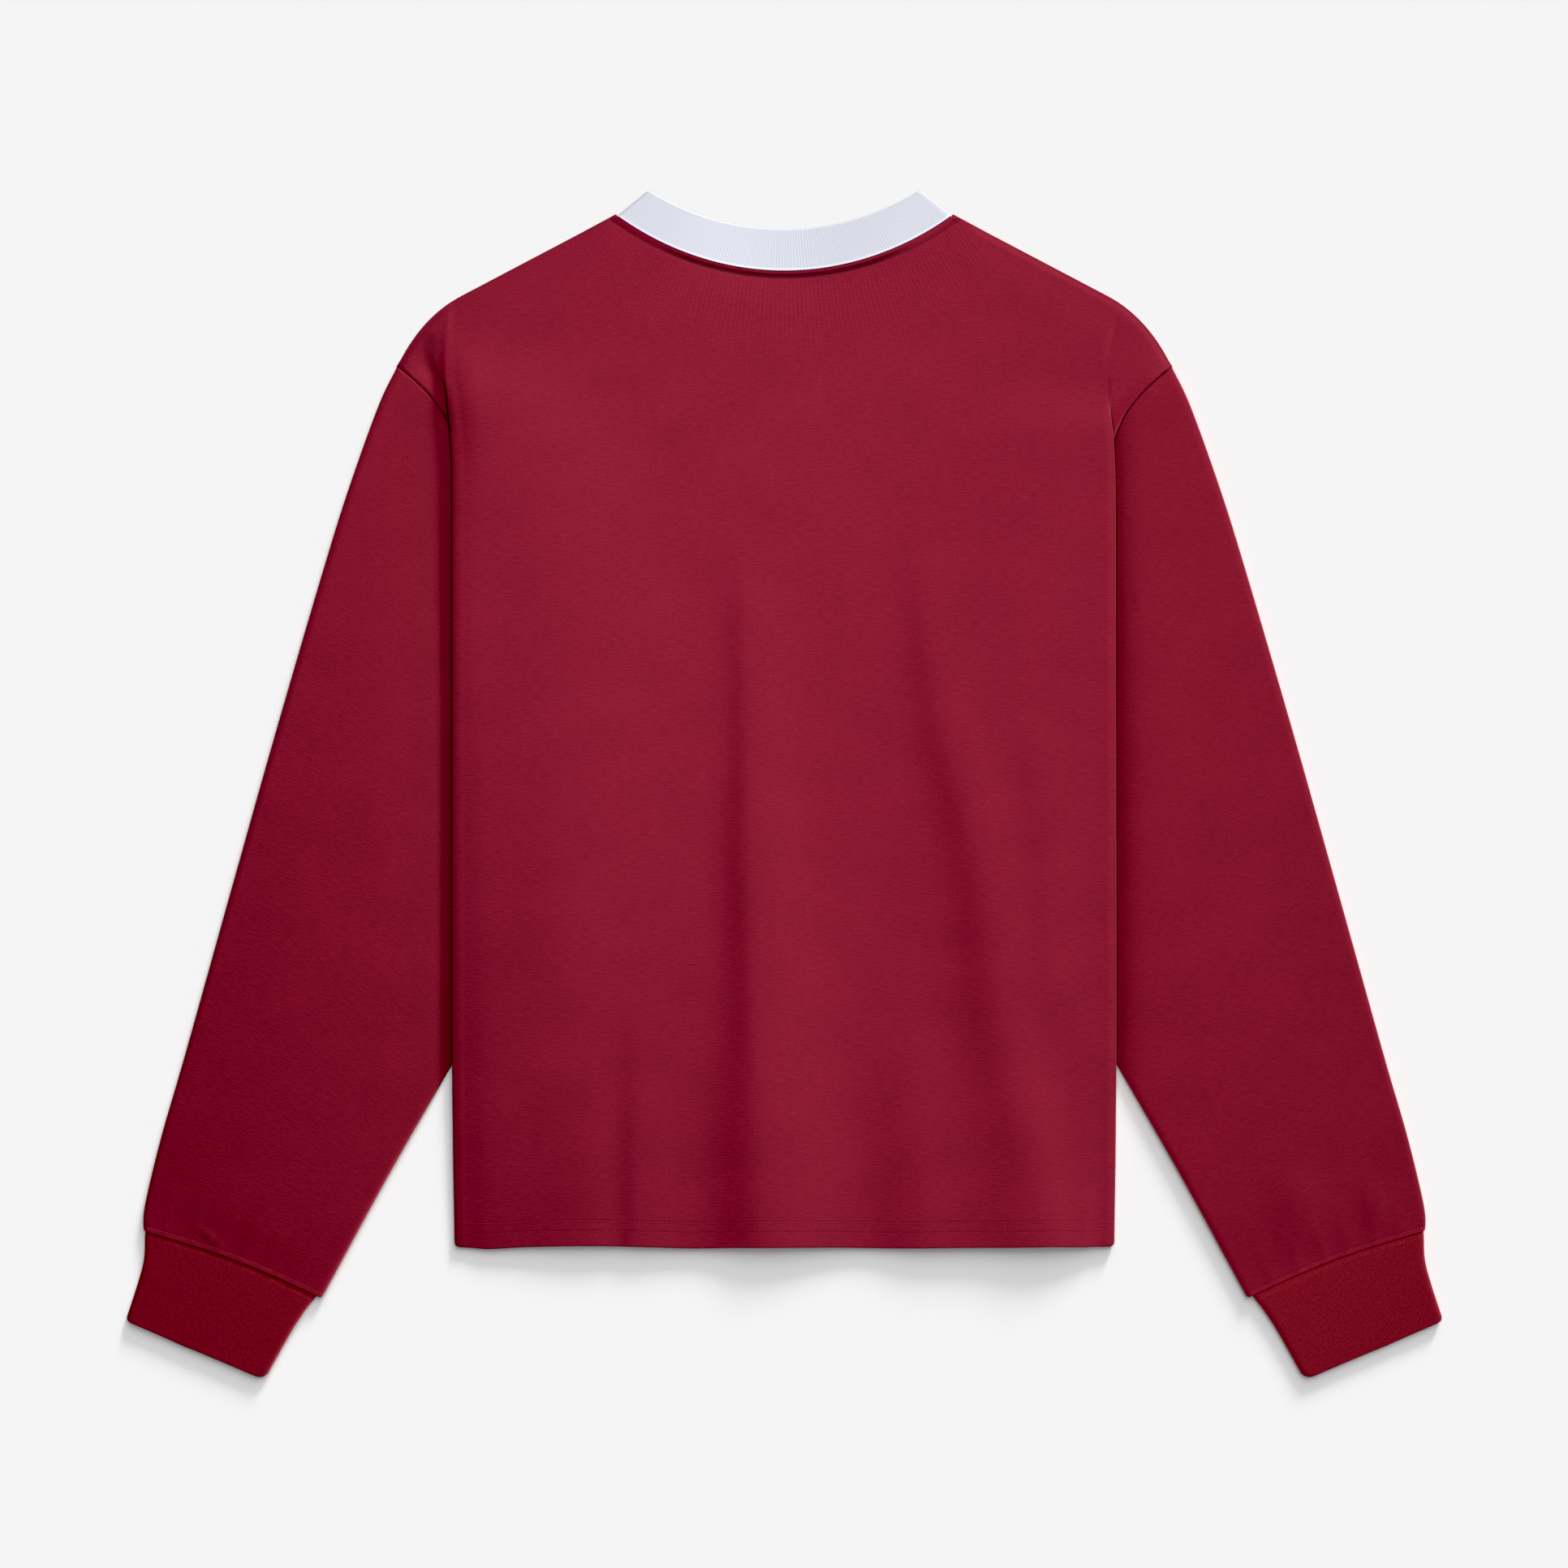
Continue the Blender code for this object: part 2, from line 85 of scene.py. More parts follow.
def curve(points: Array | tuple, steps: int = 24) -> Array:
    """A dense line on the Catmull-Rom curve through points.

    Each span between points b and c, with neighbours a and d, is the cubic
    (2b + (c - a)t + (2a - 5b + 4c - d)t^2 + (3b - a - 3c + d)t^3) / 2 for t from 0 to 1.

    Args:
        points: the points, as rows of coordinates.
        steps: how many places each span gets.

    Returns:
        The dense points, as rows.
    """
    points = np.asarray(points, float)
    padded = np.vstack([2 * points[0] - points[1], points, 2 * points[-1] - points[-2]])
    t = np.linspace(0.0, 1.0, steps, endpoint=False)[None, :, None]
    a, b, c, d = (padded[i:len(padded) - 3 + i, None] for i in range(4))
    spans = 0.5 * (2 * b + (c - a) * t + (2 * a - 5 * b + 4 * c - d) * t**2 + (3 * b - a - 3 * c + d) * t**3)
    return np.vstack([spans.reshape(-1, points.shape[1]), points[-1:]])


def lengths(line: Array) -> Array:
    """The length of a line up to each of its points."""
    return np.concatenate([[0.0], np.cumsum(np.linalg.norm(np.diff(line, axis=0), axis=1))])


def along(line: Array, fractions: Array) -> Array:
    """Points at these fractions of a plane line's length."""
    length = lengths(line)
    at = np.asarray(fractions) * length[-1]
    return np.stack([np.interp(at, length, line[:, axis]) for axis in range(2)], axis=-1)


def across_at(line: Array, y: Array | float) -> Array:
    """The distance from the centre line at which a line that runs downwards passes y."""
    return np.interp(-np.asarray(y), -line[:, 1], line[:, 0])


def seam_map(places: Array, line: Array, chunk: int = 6000) -> Array:
    """Where places lie along a seam and how far from it, in plan.

    Each place is put on the nearest point of the line's nearest segment.

    Args:
        places: a grid of places, whose last axis is x and y.
        line: the seam as a dense plane line.
        chunk: how many places are worked on at a time.

    Returns:
        A grid of (run along the seam, distance from it), in metres.
    """
    flat = places.reshape(-1, 2)
    start, step = line[:-1], np.diff(line, axis=0)
    size = np.maximum((step**2).sum(1), 1e-12)
    run = lengths(line)[:-1]
    found = []
    for first in range(0, len(flat), chunk):
        offset = flat[first:first + chunk, None] - start
        t = np.clip((offset * step).sum(2) / size, 0.0, 1.0)
        apart = np.linalg.norm(offset - t[..., None] * step, axis=2)
        nearest = apart.argmin(1)
        row = np.arange(len(nearest))
        here = run[nearest] + t[row, nearest] * np.sqrt(size[nearest])
        found.append(np.column_stack([here, apart[row, nearest]]))
    return np.vstack(found).reshape(*places.shape[:-1], 2)


# How the shirt lies


@dataclass(frozen=True)
class Ridge:
    """A long soft fold, by stations down its crest.

    Each station gives, in millimetres: x, y, the half width on the left and on the right, and the height.
    The fold comes in over fade_in below its first station.
    """

    stations: tuple[tuple[float, float, float, float, float], ...]
    fade_in: float = 30 * MM

    def rise(self, x: Array, y: Array) -> Array:
        """Height of the fold: a bell with its own width on each side of the crest, from 0 above its start."""
        line = curve(self.stations, 12) * MM
        crest, left, right, height = (np.interp(-y, -line[:, 1], line[:, column]) for column in (0, 2, 3, 4))
        offset = x - crest
        grown = smooth((line[0, 1] - y) / self.fade_in)
        return height * grown * bell(offset / np.where(offset < 0, left, right))


@dataclass(frozen=True)
class Crease:
    """A short crease on a sleeve, from one place to another, given as (distance from the centre line, y)."""

    start: tuple[float, float]
    end: tuple[float, float]
    half_width: float
    height: float

    def rise(self, plan: Array) -> Array:
        """Height of the crease: a bell in the distance from its line, times half a sine wave along it."""
        start, step = np.array(self.start), np.subtract(self.end, self.start)
        part = np.clip((plan - start) @ step / (step @ step), 0.0, 1.0)
        apart = np.linalg.norm(plan - start - part[..., None] * step, axis=-1)
        return self.height * np.sin(np.pi * part) * bell(apart / self.half_width)


@dataclass(frozen=True)
class SideFold:
    """Where one side of the body is folded under: the fold's own edge, and its hidden inner bend.

    The top layer drops towards the fold by the first drop at drop_from_y, and by the second at drop_to_y.
    Above the fold, where the panel lies flat, steep is the share of the way to the armhole within which it
    comes down on the layer below. At 0 it comes down evenly.
    """

    hand: Hand
    starts_y: float
    full_y: float
    edge: tuple[tuple[float, float], ...]
    inside: tuple[tuple[float, float], ...]
    drop: tuple[float, float]
    drop_width: tuple[float, float]
    steep: float = 0.0
    drop_from_y: float = 0.10
    drop_to_y: float = -0.25

    def edge_drop(self, from_fold: Array, y: Array) -> Array:
        """How far the top layer rolls down towards the fold: a parabola in the distance from it."""
        rows = (-self.drop_from_y, -self.drop_to_y)
        drop, width = (np.interp(-y, rows, pair) for pair in (self.drop, self.drop_width))
        return drop * self.share(y) * np.square(np.clip(1 - from_fold / width, 0.0, 1.0))

    def share(self, y: Array | float) -> Array:
        """0 above the fold's start, 1 where it is a full fold."""
        return smooth((self.starts_y - np.asarray(y)) / (self.starts_y - self.full_y))


LEFT_FOLD = SideFold(
    Hand.LEFT, 0.282, 0.228,
    ((0.2183, 0.2752), (0.2093, 0.2430), (0.2050, 0.2030), (0.2046, 0.1500), (0.2046, -0.1700),
     (0.2033, -0.2853)),
    ((0.2183, 0.2752), (0.2030, 0.2430), (0.1850, 0.2150), (0.1450, 0.0830)),
    drop=(0.9 * MM, 1.5 * MM), drop_width=(14 * MM, 34 * MM), steep=0.55,
)
RIGHT_FOLD = SideFold(
    Hand.RIGHT, 0.250, 0.214,
    ((0.2012, 0.2752), (0.2010, 0.2430), (0.2032, 0.2030), (0.2040, 0.1500), (0.2043, -0.1700),
     (0.2033, -0.2853)),
    ((0.2012, 0.2752), (0.1995, 0.2430), (0.1850, 0.2150), (0.1450, 0.0830)),
    drop=(0.1 * MM, 0.1 * MM), drop_width=(8 * MM, 8 * MM),
)

CREASES = {
    Hand.LEFT: (
        Crease((0.3630, -0.2705), (0.3445, -0.2862), 2.6 * MM, 0.30 * MM),
        Crease((0.3330, -0.2900), (0.3080, -0.2600), 7.0 * MM, 0.25 * MM),
    ),
    Hand.RIGHT: (
        Crease((0.3080, -0.2300), (0.3240, -0.2900), 14 * MM, 0.60 * MM),
        Crease((0.3560, -0.2400), (0.3700, -0.2760), 8.0 * MM, 0.45 * MM),
    ),
}


@dataclass(frozen=True)
class Cut:
    """The cut of the shirt as it lies: its seams and edges in plan, on either side of the centre line.

    seam_gap is how far hidden layers stay from a seam, and sewn_gap how near the visible ones come to it.
    """

    neck_point: tuple[float, float] = (103.8 * MM, 350.3 * MM)
    collar_tip: tuple[float, float] = (84.7 * MM, 365.8 * MM)
    back_neck_y: float = 315.9 * MM
    back_collar_y: float = 341.3 * MM
    front_neck_y: float = 258.0 * MM
    front_collar_y: float = 283.4 * MM
    neck_quartic: float = 0.1
    front_neck_power: float = 2.6
    shoulder_end: tuple[float, float] = (198.8 * MM, 300.3 * MM)
    shoulder_pull: tuple[float, float] = (223.7 * MM, 287.2 * MM)
    sleeve_head: tuple[float, float] = (238.3 * MM, 256.8 * MM)
    underarm: tuple[float, float] = (152.0 * MM, 83.0 * MM)
    underarm_reach: float = 40.0 * MM
    side_seam_x: float = 134.0 * MM
    side_seam_start_y: float = 55.0 * MM
    back_hem_y: float = -285.3 * MM
    front_hem_y: float = -283.5 * MM
    armhole_points: tuple[tuple[float, float], ...] = (
        (0.2235, 0.2440), (0.2118, 0.2303), (0.2055, 0.2175), (0.1960, 0.1900), (0.1800, 0.1500),
        (0.1630, 0.1100))
    outer_points: tuple[tuple[float, float], ...] = (
        (0.2498, 0.2328), (0.2678, 0.1828), (0.2835, 0.1328), (0.3128, 0.0328), (0.3410, -0.0672),
        (0.3690, -0.1672), (0.3835, -0.2172), (0.3935, -0.2590), (0.3946, -0.2752))
    inner_points: tuple[tuple[float, float], ...] = (
        (0.1500, 0.0200), (0.1545, -0.0600), (0.1720, -0.1160), (0.2048, -0.1733), (0.2438, -0.2413),
        (0.2848, -0.3166))
    cuff_outer_points: tuple[tuple[float, float], ...] = (
        (0.3936, -0.2757), (0.3943, -0.2925), (0.3980, -0.3073), (0.4048, -0.3312))
    cuff_inner_points: tuple[tuple[float, float], ...] = (
        (0.2882, -0.3157), (0.2955, -0.3250), (0.3045, -0.3390), (0.3195, -0.3655))
    cuff_seam_bow: float = 3.2 * MM
    seam_gap: float = 0.5 * MM
    sewn_gap: float = 0.1 * MM

    @property
    def armhole(self) -> Array:
        """The armhole seam, from the sleeve's head to the underarm."""
        return curve((self.sleeve_head, *self.armhole_points, self.underarm))

    @property
    def sleeve_outer(self) -> Array:
        """The sleeve's outer edge, from its head to the cuff seam."""
        return curve((self.sleeve_head, *self.outer_points))

    @property
    def sleeve_inner(self) -> Array:
        """The sleeve's inner edge, from the underarm to the cuff seam."""
        return curve((self.underarm, *self.inner_points))

    @property
    def shoulder(self) -> Array:
        """The silhouette from the neck point to the sleeve's head: a straight seam, then a quadratic bend."""
        start, pull, end = (np.array(p) for p in (self.shoulder_end, self.shoulder_pull, self.sleeve_head))
        t = np.linspace(0.0, 1.0, 40)[:, None]
        return np.vstack([self.neck_point, (1 - t) ** 2 * start + 2 * t * (1 - t) * pull + t**2 * end])

    def neckline(self, across: Array, end: tuple[float, float], lowest: float,
                 power: float | None = None) -> Array:
        """y of a neckline: lowest on the centre line, up to end by a power of the share of the way there.

        Args:
            across: distances from the centre line.
            end: the neckline's end point.
            lowest: y on the centre line.
            power: the power, or None for a blend of a square and a fourth power.

        Returns:
            y at each distance.
        """
        ratio = np.minimum(np.abs(across) / end[0], 1.0)
        blend = (1 - self.neck_quartic) * ratio**2 + self.neck_quartic * ratio**4
        shape = blend if power is None else ratio**power
        return lowest + (end[1] - lowest) * shape

    def top_edge(self, across: Array, lowest: float, power: float | None = None) -> Array:
        """y of a body panel's upper edge: the neckline, then the shoulder."""
        shoulder = self.shoulder
        neck = self.neckline(across, self.neck_point, lowest, power)
        return np.where(across < self.neck_point[0], neck, np.interp(across, shoulder[:, 0], shoulder[:, 1]))

    def end_across(self, y: Array | float) -> Array:
        """A body panel's side edge: the armhole down to the underarm, then the side seam."""
        y = np.asarray(y)
        run_in = smooth((self.underarm[1] - y) / (self.underarm[1] - self.side_seam_start_y))
        below = self.underarm[0] + (self.side_seam_x - self.underarm[0]) * run_in
        return np.where(y > self.underarm[1], across_at(self.armhole, y), below)


@dataclass(frozen=True)
class Lay:
    """How the layers lie on each other: the height of each middle surface, and the ramps between them.

    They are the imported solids' own, but for open_loft, sleeve_bulge, body_ramp, underarm_blend, open_ramp
    and the neck's rise, which are this script's. The ridges are the body's long soft folds.
    """

    cut: Cut = field(default_factory=Cut)
    solid_wall: float = 1.1 * MM
    rib_wall: float = 1.8 * MM
    floor_layer: float = 0.55 * MM
    second_layer: float = 2.05 * MM
    open_loft: float = 2.2 * MM
    sleeve_bulge: float = 0.8 * MM
    tuck_lift: float = 3.0 * MM
    body_layer: float = 2.95 * MM
    shoulder_layer: float = 2.15 * MM
    neck_low: float = 1.0 * MM
    neck_high: float = 2.8 * MM
    back_rib_low: float = 0.3 * MM
    cuff_loft: float = 2.4 * MM
    collar_roll: float = 1.1 * MM
    tuck_ramp: float = 16 * MM
    tuck_margin: float = 6 * MM
    body_ramp: float = 110 * MM
    underarm_blend: float = 30 * MM
    edge_ramp: float = 28 * MM
    open_ramp: float = 11 * MM
    fold_margin: float = 6 * MM
    open_start: float = 4 * MM
    ridge_ramp: float = 20 * MM
    neck_rise_from: float = 5 * MM
    neck_rise_to: float = 72 * MM
    shoulder_ramp: float = 25 * MM
    ridges: tuple[Ridge, ...] = (
        Ridge(((-26, 150, 9, 20, 0.1), (-25, 108, 9, 20, 0.9), (-22, 33, 10, 26, 1.7),
               (-21, -42, 13, 30, 2.7), (-18, -117, 15, 38, 3.1), (-16, -167, 19, 40, 3.8),
               (-14, -217, 24, 44, 4.5), (-12, -300, 26, 46, 4.2))),
        Ridge(((84, 160, 12, 20, 0.1), (87, 108, 12, 20, 1.0), (99, 33, 14, 22, 1.6),
               (119, -42, 16, 26, 1.9), (129, -117, 18, 26, 2.2), (137, -167, 24, 24, 2.6),
               (149, -217, 28, 24, 3.3), (164, -300, 32, 22, 3.8))),
        Ridge(((148, 50, 12, 20, 0.0), (155, 33, 12, 20, 0.6), (161, -42, 12, 20, 0.8),
               (165, -117, 12, 18, 0.6), (168, -180, 12, 16, 0.0))),
        Ridge(((80, -90, 32, 60, 0.1), (83, -167, 32, 75, 1.7), (87, -217, 31, 90, 3.0),
               (92, -300, 30, 100, 4.0))),
        Ridge(((-122, -150, 50, 16, 0.0), (-122, -217, 55, 16, 0.8), (-120, -300, 60, 16, 1.0))),
        Ridge(((-214, 285, 12, 60, 0.1), (-212, 262, 12, 60, 1.0), (-208, 240, 12, 60, 1.5),
               (-204, 215, 12, 60, 1.3), (-203, 180, 12, 60, 0.4), (-203, 140, 12, 60, 0.0))),
        Ridge(((-92, -120, 8, 22, 0.0), (-91, -167, 8, 22, 0.4), (-91, -217, 8, 22, 0.8),
               (-92, -300, 7, 22, 1.0))),
        Ridge(((-150, 60, 30, 80, 0.1), (-135, -40, 40, 100, 0.8), (-125, -150, 46, 120, 1.8),
               (-118, -300, 52, 120, 2.2))),
    )

    def fold_across(self, side: SideFold, y: Array | float) -> Array:
        """The outermost place of the fold's middle surface."""
        return across_at(curve(side.edge), y) - self.solid_wall / 2

    def inside_across(self, side: SideFold, y: Array | float) -> Array:
        """The innermost place of what is folded under: the hidden bend, then the sleeve's inner edge."""
        y = np.asarray(y)
        hidden = across_at(np.array(side.inside), y)
        return np.where(y > self.cut.underarm[1], hidden, across_at(self.cut.sleeve_inner, y))

    def tuck_height(self, across: Array, side: SideFold, y: Array) -> Array:
        """The cloth that is folded under: on the floor, and lifted over the sleeve by a smooth step."""
        reach = across - self.inside_across(side, y) + self.tuck_ramp + self.tuck_margin
        return self.floor_layer + self.tuck_lift * smooth(reach / self.tuck_ramp)

    def second_height(self, across: Array, side: SideFold, y: Array) -> Array:
        """The layer that the fold lies on: pressed below it, and looser outside it."""
        return self.second_layer + self.open_loft * self.open_share(across, side, y)

    def open_share(self, across: Array, side: SideFold, y: Array) -> Array:
        """0 below the fold, and 1 - e^(-distance / ramp) outside it."""
        outside = np.maximum(across - self.fold_across(side, y), 0.0)
        return 1 - np.exp(-outside / self.open_ramp)

    def neck_rise(self, across: Array) -> Array:
        """0 in the middle of the back neck, 1 near the shoulders, where the back rib lies on the front's."""
        return smooth((np.abs(across) - self.neck_rise_from) / (self.neck_rise_to - self.neck_rise_from))

    def neck_height(self, across: Array) -> Array:
        """The back panel along its neckline and shoulder seam."""
        over_rib = self.neck_low + (self.neck_high - self.neck_low) * self.neck_rise(across)
        past = smooth((across - self.cut.neck_point[0]) / self.shoulder_ramp)
        return over_rib + (self.shoulder_layer - self.neck_high) * past

    def body_height(self, across: Array, side: SideFold, y: Array) -> Array:
        """The back panel's top layer: its edge's height, then the layers below it and the long soft folds."""
        below = smooth((self.cut.underarm[1] + self.underarm_blend - y) / (2 * self.underarm_blend))
        hidden = across_at(np.array(side.inside), y)
        inside = hidden + (across_at(self.cut.sleeve_inner, y) - hidden) * below
        reach = (across - inside + self.body_ramp) / self.body_ramp
        inner = self.body_layer + self.tuck_lift * side.share(y) * smooth(reach)
        x = side.hand.value * across
        from_fold = self.fold_across(side, y) - across
        folds = sum(ridge.rise(x, y) for ridge in self.ridges)
        inner = inner + folds * smooth(from_fold / self.ridge_ramp)
        inner = inner - side.edge_drop(from_fold, y)
        edge = self.neck_height(across)
        from_top = self.cut.top_edge(across, self.cut.back_neck_y) - y
        return edge + (inner - edge) * smooth(from_top / self.edge_ramp)


# Cloth surfaces as meshes


@dataclass
class Surface:
    """A cloth surface: a grid of points, and for each named map a grid of two lengths in metres.

    Rows run down the piece, and columns run round it. A ring's last column joins its first.
    """

    points: Array
    maps: dict[str, Array]
    ring: bool = False

    def normals(self) -> Array:
        """Unit normals: the cross product of the step down the rows and the step along the columns."""
        wrap = np.concatenate([self.points[:, -1:], self.points, self.points[:, :1]], axis=1)
        if self.ring:
            over = (wrap[:, 2:] - wrap[:, :-2]) / 2
        else:
            over = np.gradient(self.points, axis=1)
        down = np.gradient(self.points, axis=0)
        normal = np.cross(down, over)
        return normal / np.maximum(np.linalg.norm(normal, axis=2, keepdims=True), 1e-12)

    def turned_over(self, apart: float, rows: int, steps: int = 5) -> "Surface":
        """The surface with its last row's edge turned inwards, and doubled over some of its last rows.

        The turn is a half circle of diameter apart about a line below the last row: its points are
        centre + n r cos(a) + t r sin(a), where n is the normal, t runs on down the rows, and r = apart / 2.

        Args:
            apart: distance between the two layers' middle surfaces.
            rows: how many of the last rows are doubled.
            steps: places round the turn.

        Returns:
            A new surface with the turn's rows and the inner layer's rows after the old ones.
        """
        normal = self.normals()
        tangent = self.points[-1] - self.points[-2]
        tangent = tangent / np.maximum(np.linalg.norm(tangent, axis=1, keepdims=True), 1e-12)
        angle = np.linspace(0.0, np.pi, steps + 2)[1:-1, None, None]
        centre = self.points[-1] - normal[-1] * apart / 2
        turn = centre + apart / 2 * (normal[-1] * np.cos(angle) + tangent * np.sin(angle))
        inner = (self.points - normal * apart)[:-rows - 1:-1]
        maps = {}
        for name, grid in self.maps.items():
            maps[name] = np.concatenate([grid, np.repeat(grid[-1:], steps, axis=0), grid[:-rows - 1:-1]])
        return Surface(np.concatenate([self.points, turn, inner]), maps, self.ring)

    def on_side(self, hand: Hand) -> "Surface":
        """The surface on this side of the shirt, from one that is given by distances from the centre line.

        x takes the side's sign. On the right, the columns run the other way, so that the cloth faces out.

        Args:
            hand: the side.

        Returns:
            A new surface.
        """
        points = self.points * (hand.value, 1, 1)
        if hand is Hand.LEFT:
            return Surface(points, self.maps, self.ring)
        return Surface(points[:, ::-1], {key: grid[:, ::-1] for key, grid in self.maps.items()}, self.ring)

    def mesh(self, name: str) -> bpy.types.Mesh:
        """A quad mesh of the grid, with one UV map for each named map.

        Args:
            name: the mesh's name.

        Returns:
            The mesh, smooth shaded, with its faces towards the side that normals() gives.
        """
        rows, columns = self.points.shape[:2]
        index = np.arange(rows * columns).reshape(rows, columns)
        grids = self.maps
        if self.ring:
            index = np.column_stack([index, index[:, 0]])
            grids = {key: np.concatenate([grid, grid[:, :1]], axis=1) for key, grid in grids.items()}
        near, far = slice(None, -1), slice(1, None)
        corners = ((near, near), (far, near), (far, far), (near, far))
        faces = np.stack([index[corner] for corner in corners], axis=-1).reshape(-1, 4)
        mesh = bpy.data.meshes.new(name)
        mesh.vertices.add(rows * columns)
        mesh.vertices.foreach_set("co", self.points.astype(np.float32).ravel())
        mesh.loops.add(faces.size)
        mesh.loops.foreach_set("vertex_index", faces.astype(np.int32).ravel())
        mesh.polygons.add(len(faces))
        mesh.polygons.foreach_set("loop_start", np.arange(0, faces.size, 4, dtype=np.int32))
        mesh.update(calc_edges=True)
        for key, grid in grids.items():
            layer = mesh.uv_layers.new(name=key)
            uv = np.stack([grid[corner] for corner in corners], axis=2).reshape(-1, 2)
            layer.data.foreach_set("uv", uv.astype(np.float32).ravel())
        mesh.shade_smooth()
        mesh.validate()
        return mesh

    def piece(self, node: str, wall: float, slot: Slot, finish: bpy.types.Material) -> bpy.types.Object:
        """The cloth piece that stands for a CAD node.

        Args:
            node: the CAD node's name.
            wall: the cloth's thickness, centred on the surface.
            slot: the record's material slot; not used.
            finish: the material.

        Returns:
            The object, which rides on the root and replaces the node.
        """
        made = bpy.data.objects.new(f"{node}_cloth", self.mesh(f"{node}_cloth"))
        bpy.context.scene.collection.objects.link(made)
        made.data.materials.append(finish)
        solid = made.modifiers.new("Cloth wall", "SOLIDIFY")
        solid.thickness = wall
        solid.offset = 0.0
        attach(made, "root")
        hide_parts(node)
        LOG.info("%s: %d x %d places", made.name, *self.points.shape[:2])
        return made


# Cloth finishes


class NodeBench:
    """A material's node tree, with short calls for the nodes that the finishes share."""

    def __init__(self, name: str, colour: tuple[float, float, float], roughness: float, sheen: float) -> None:
        """Makes the material, with a Principled shader's uniform values on its own sockets."""
        self.material = bpy.data.materials.new(name)
        self.material.use_nodes = True
        self.tree = self.material.node_tree
        self.shader = self.tree.nodes["Principled BSDF"]
        self.shader.inputs["Base Color"].default_value = (*colour, 1.0)
        self.shader.inputs["Roughness"].default_value = roughness
        self.shader.inputs["Specular IOR Level"].default_value = 0.25
        self.shader.inputs["Sheen Weight"].default_value = sheen
        self.shader.inputs["Sheen Roughness"].default_value = 0.5

    def add(self, kind: str, inputs: dict, **settings: object) -> bpy.types.Node:
        """Adds a node.

        Args:
            kind: the node's type.
            inputs: socket names or numbers, each with a value or another node's socket.
            settings: the node's own settings.

        Returns:
            The node.
        """
        node = self.tree.nodes.new(kind)
        for name, value in settings.items():
            setattr(node, name, value)
        for name, value in inputs.items():
            if isinstance(value, bpy.types.NodeSocket):
                self.tree.links.new(value, node.inputs[name])
            else:
                node.inputs[name].default_value = value
        return node

    def math(self, operation: str, *values: object) -> bpy.types.NodeSocket:
        """One Math node on these values or sockets."""
        return self.add("ShaderNodeMath", dict(enumerate(values)), operation=operation).outputs[0]

    def total(self, sockets: list) -> bpy.types.NodeSocket:
        """The sum of several sockets."""
        result = sockets[0]
        for socket in sockets[1:]:
            result = self.math("ADD", result, socket)
        return result

    def map_axes(self, name: str) -> tuple[bpy.types.NodeSocket, bpy.types.NodeSocket]:
        """The two lengths that a UV map holds."""
        here = self.add("ShaderNodeUVMap", {}, uv_map=name)
        split = self.add("ShaderNodeSeparateXYZ", {0: here.outputs[0]})
        return split.outputs[0], split.outputs[1]

    def step(self, value: object, low: float, high: float) -> bpy.types.NodeSocket:
        """A smooth step from 0 at low to 1 at high, or down from 1 if low is above high."""
        inputs = {"Value": value, "From Min": low, "From Max": high}
        return self.add("ShaderNodeMapRange", inputs, interpolation_type="SMOOTHSTEP").outputs[0]

    def streaks(self, name: str, length: float, width: float, detail: float = 2.0) -> bpy.types.NodeSocket:
        """Noise from -1 to 1 in flecks of this length along a map's first axis and this width across."""
        first, second = self.map_axes(name)
        place = self.add("ShaderNodeCombineXYZ", {
            0: self.math("DIVIDE", first, length),
            1: self.math("DIVIDE", second, width),
        })
        noise = self.add("ShaderNodeTexNoise", {"Vector": place.outputs[0], "Scale": 1.0, "Detail": detail})
        return self.math("MULTIPLY_ADD", noise.outputs[0], 2.0, -1.0)

    def finish(self, colour: tuple[float, float, float], tone: object, height: object) -> bpy.types.Material:
        """Colours the cloth by its colour times a tone, and bumps it by a height in metres.

        Args:
            colour: the plain colour.
            tone: a socket around 1.
            height: a socket in metres.

        Returns:
            The material.
        """
        scaled = self.add("ShaderNodeVectorMath", {0: colour, "Scale": tone}, operation="SCALE")
        self.tree.links.new(scaled.outputs[0], self.shader.inputs["Base Color"])
        bump = self.add("ShaderNodeBump", {"Height": height, "Strength": 1.0, "Distance": 1.0})
        self.tree.links.new(bump.outputs[0], self.shader.inputs["Normal"])
        return self.material


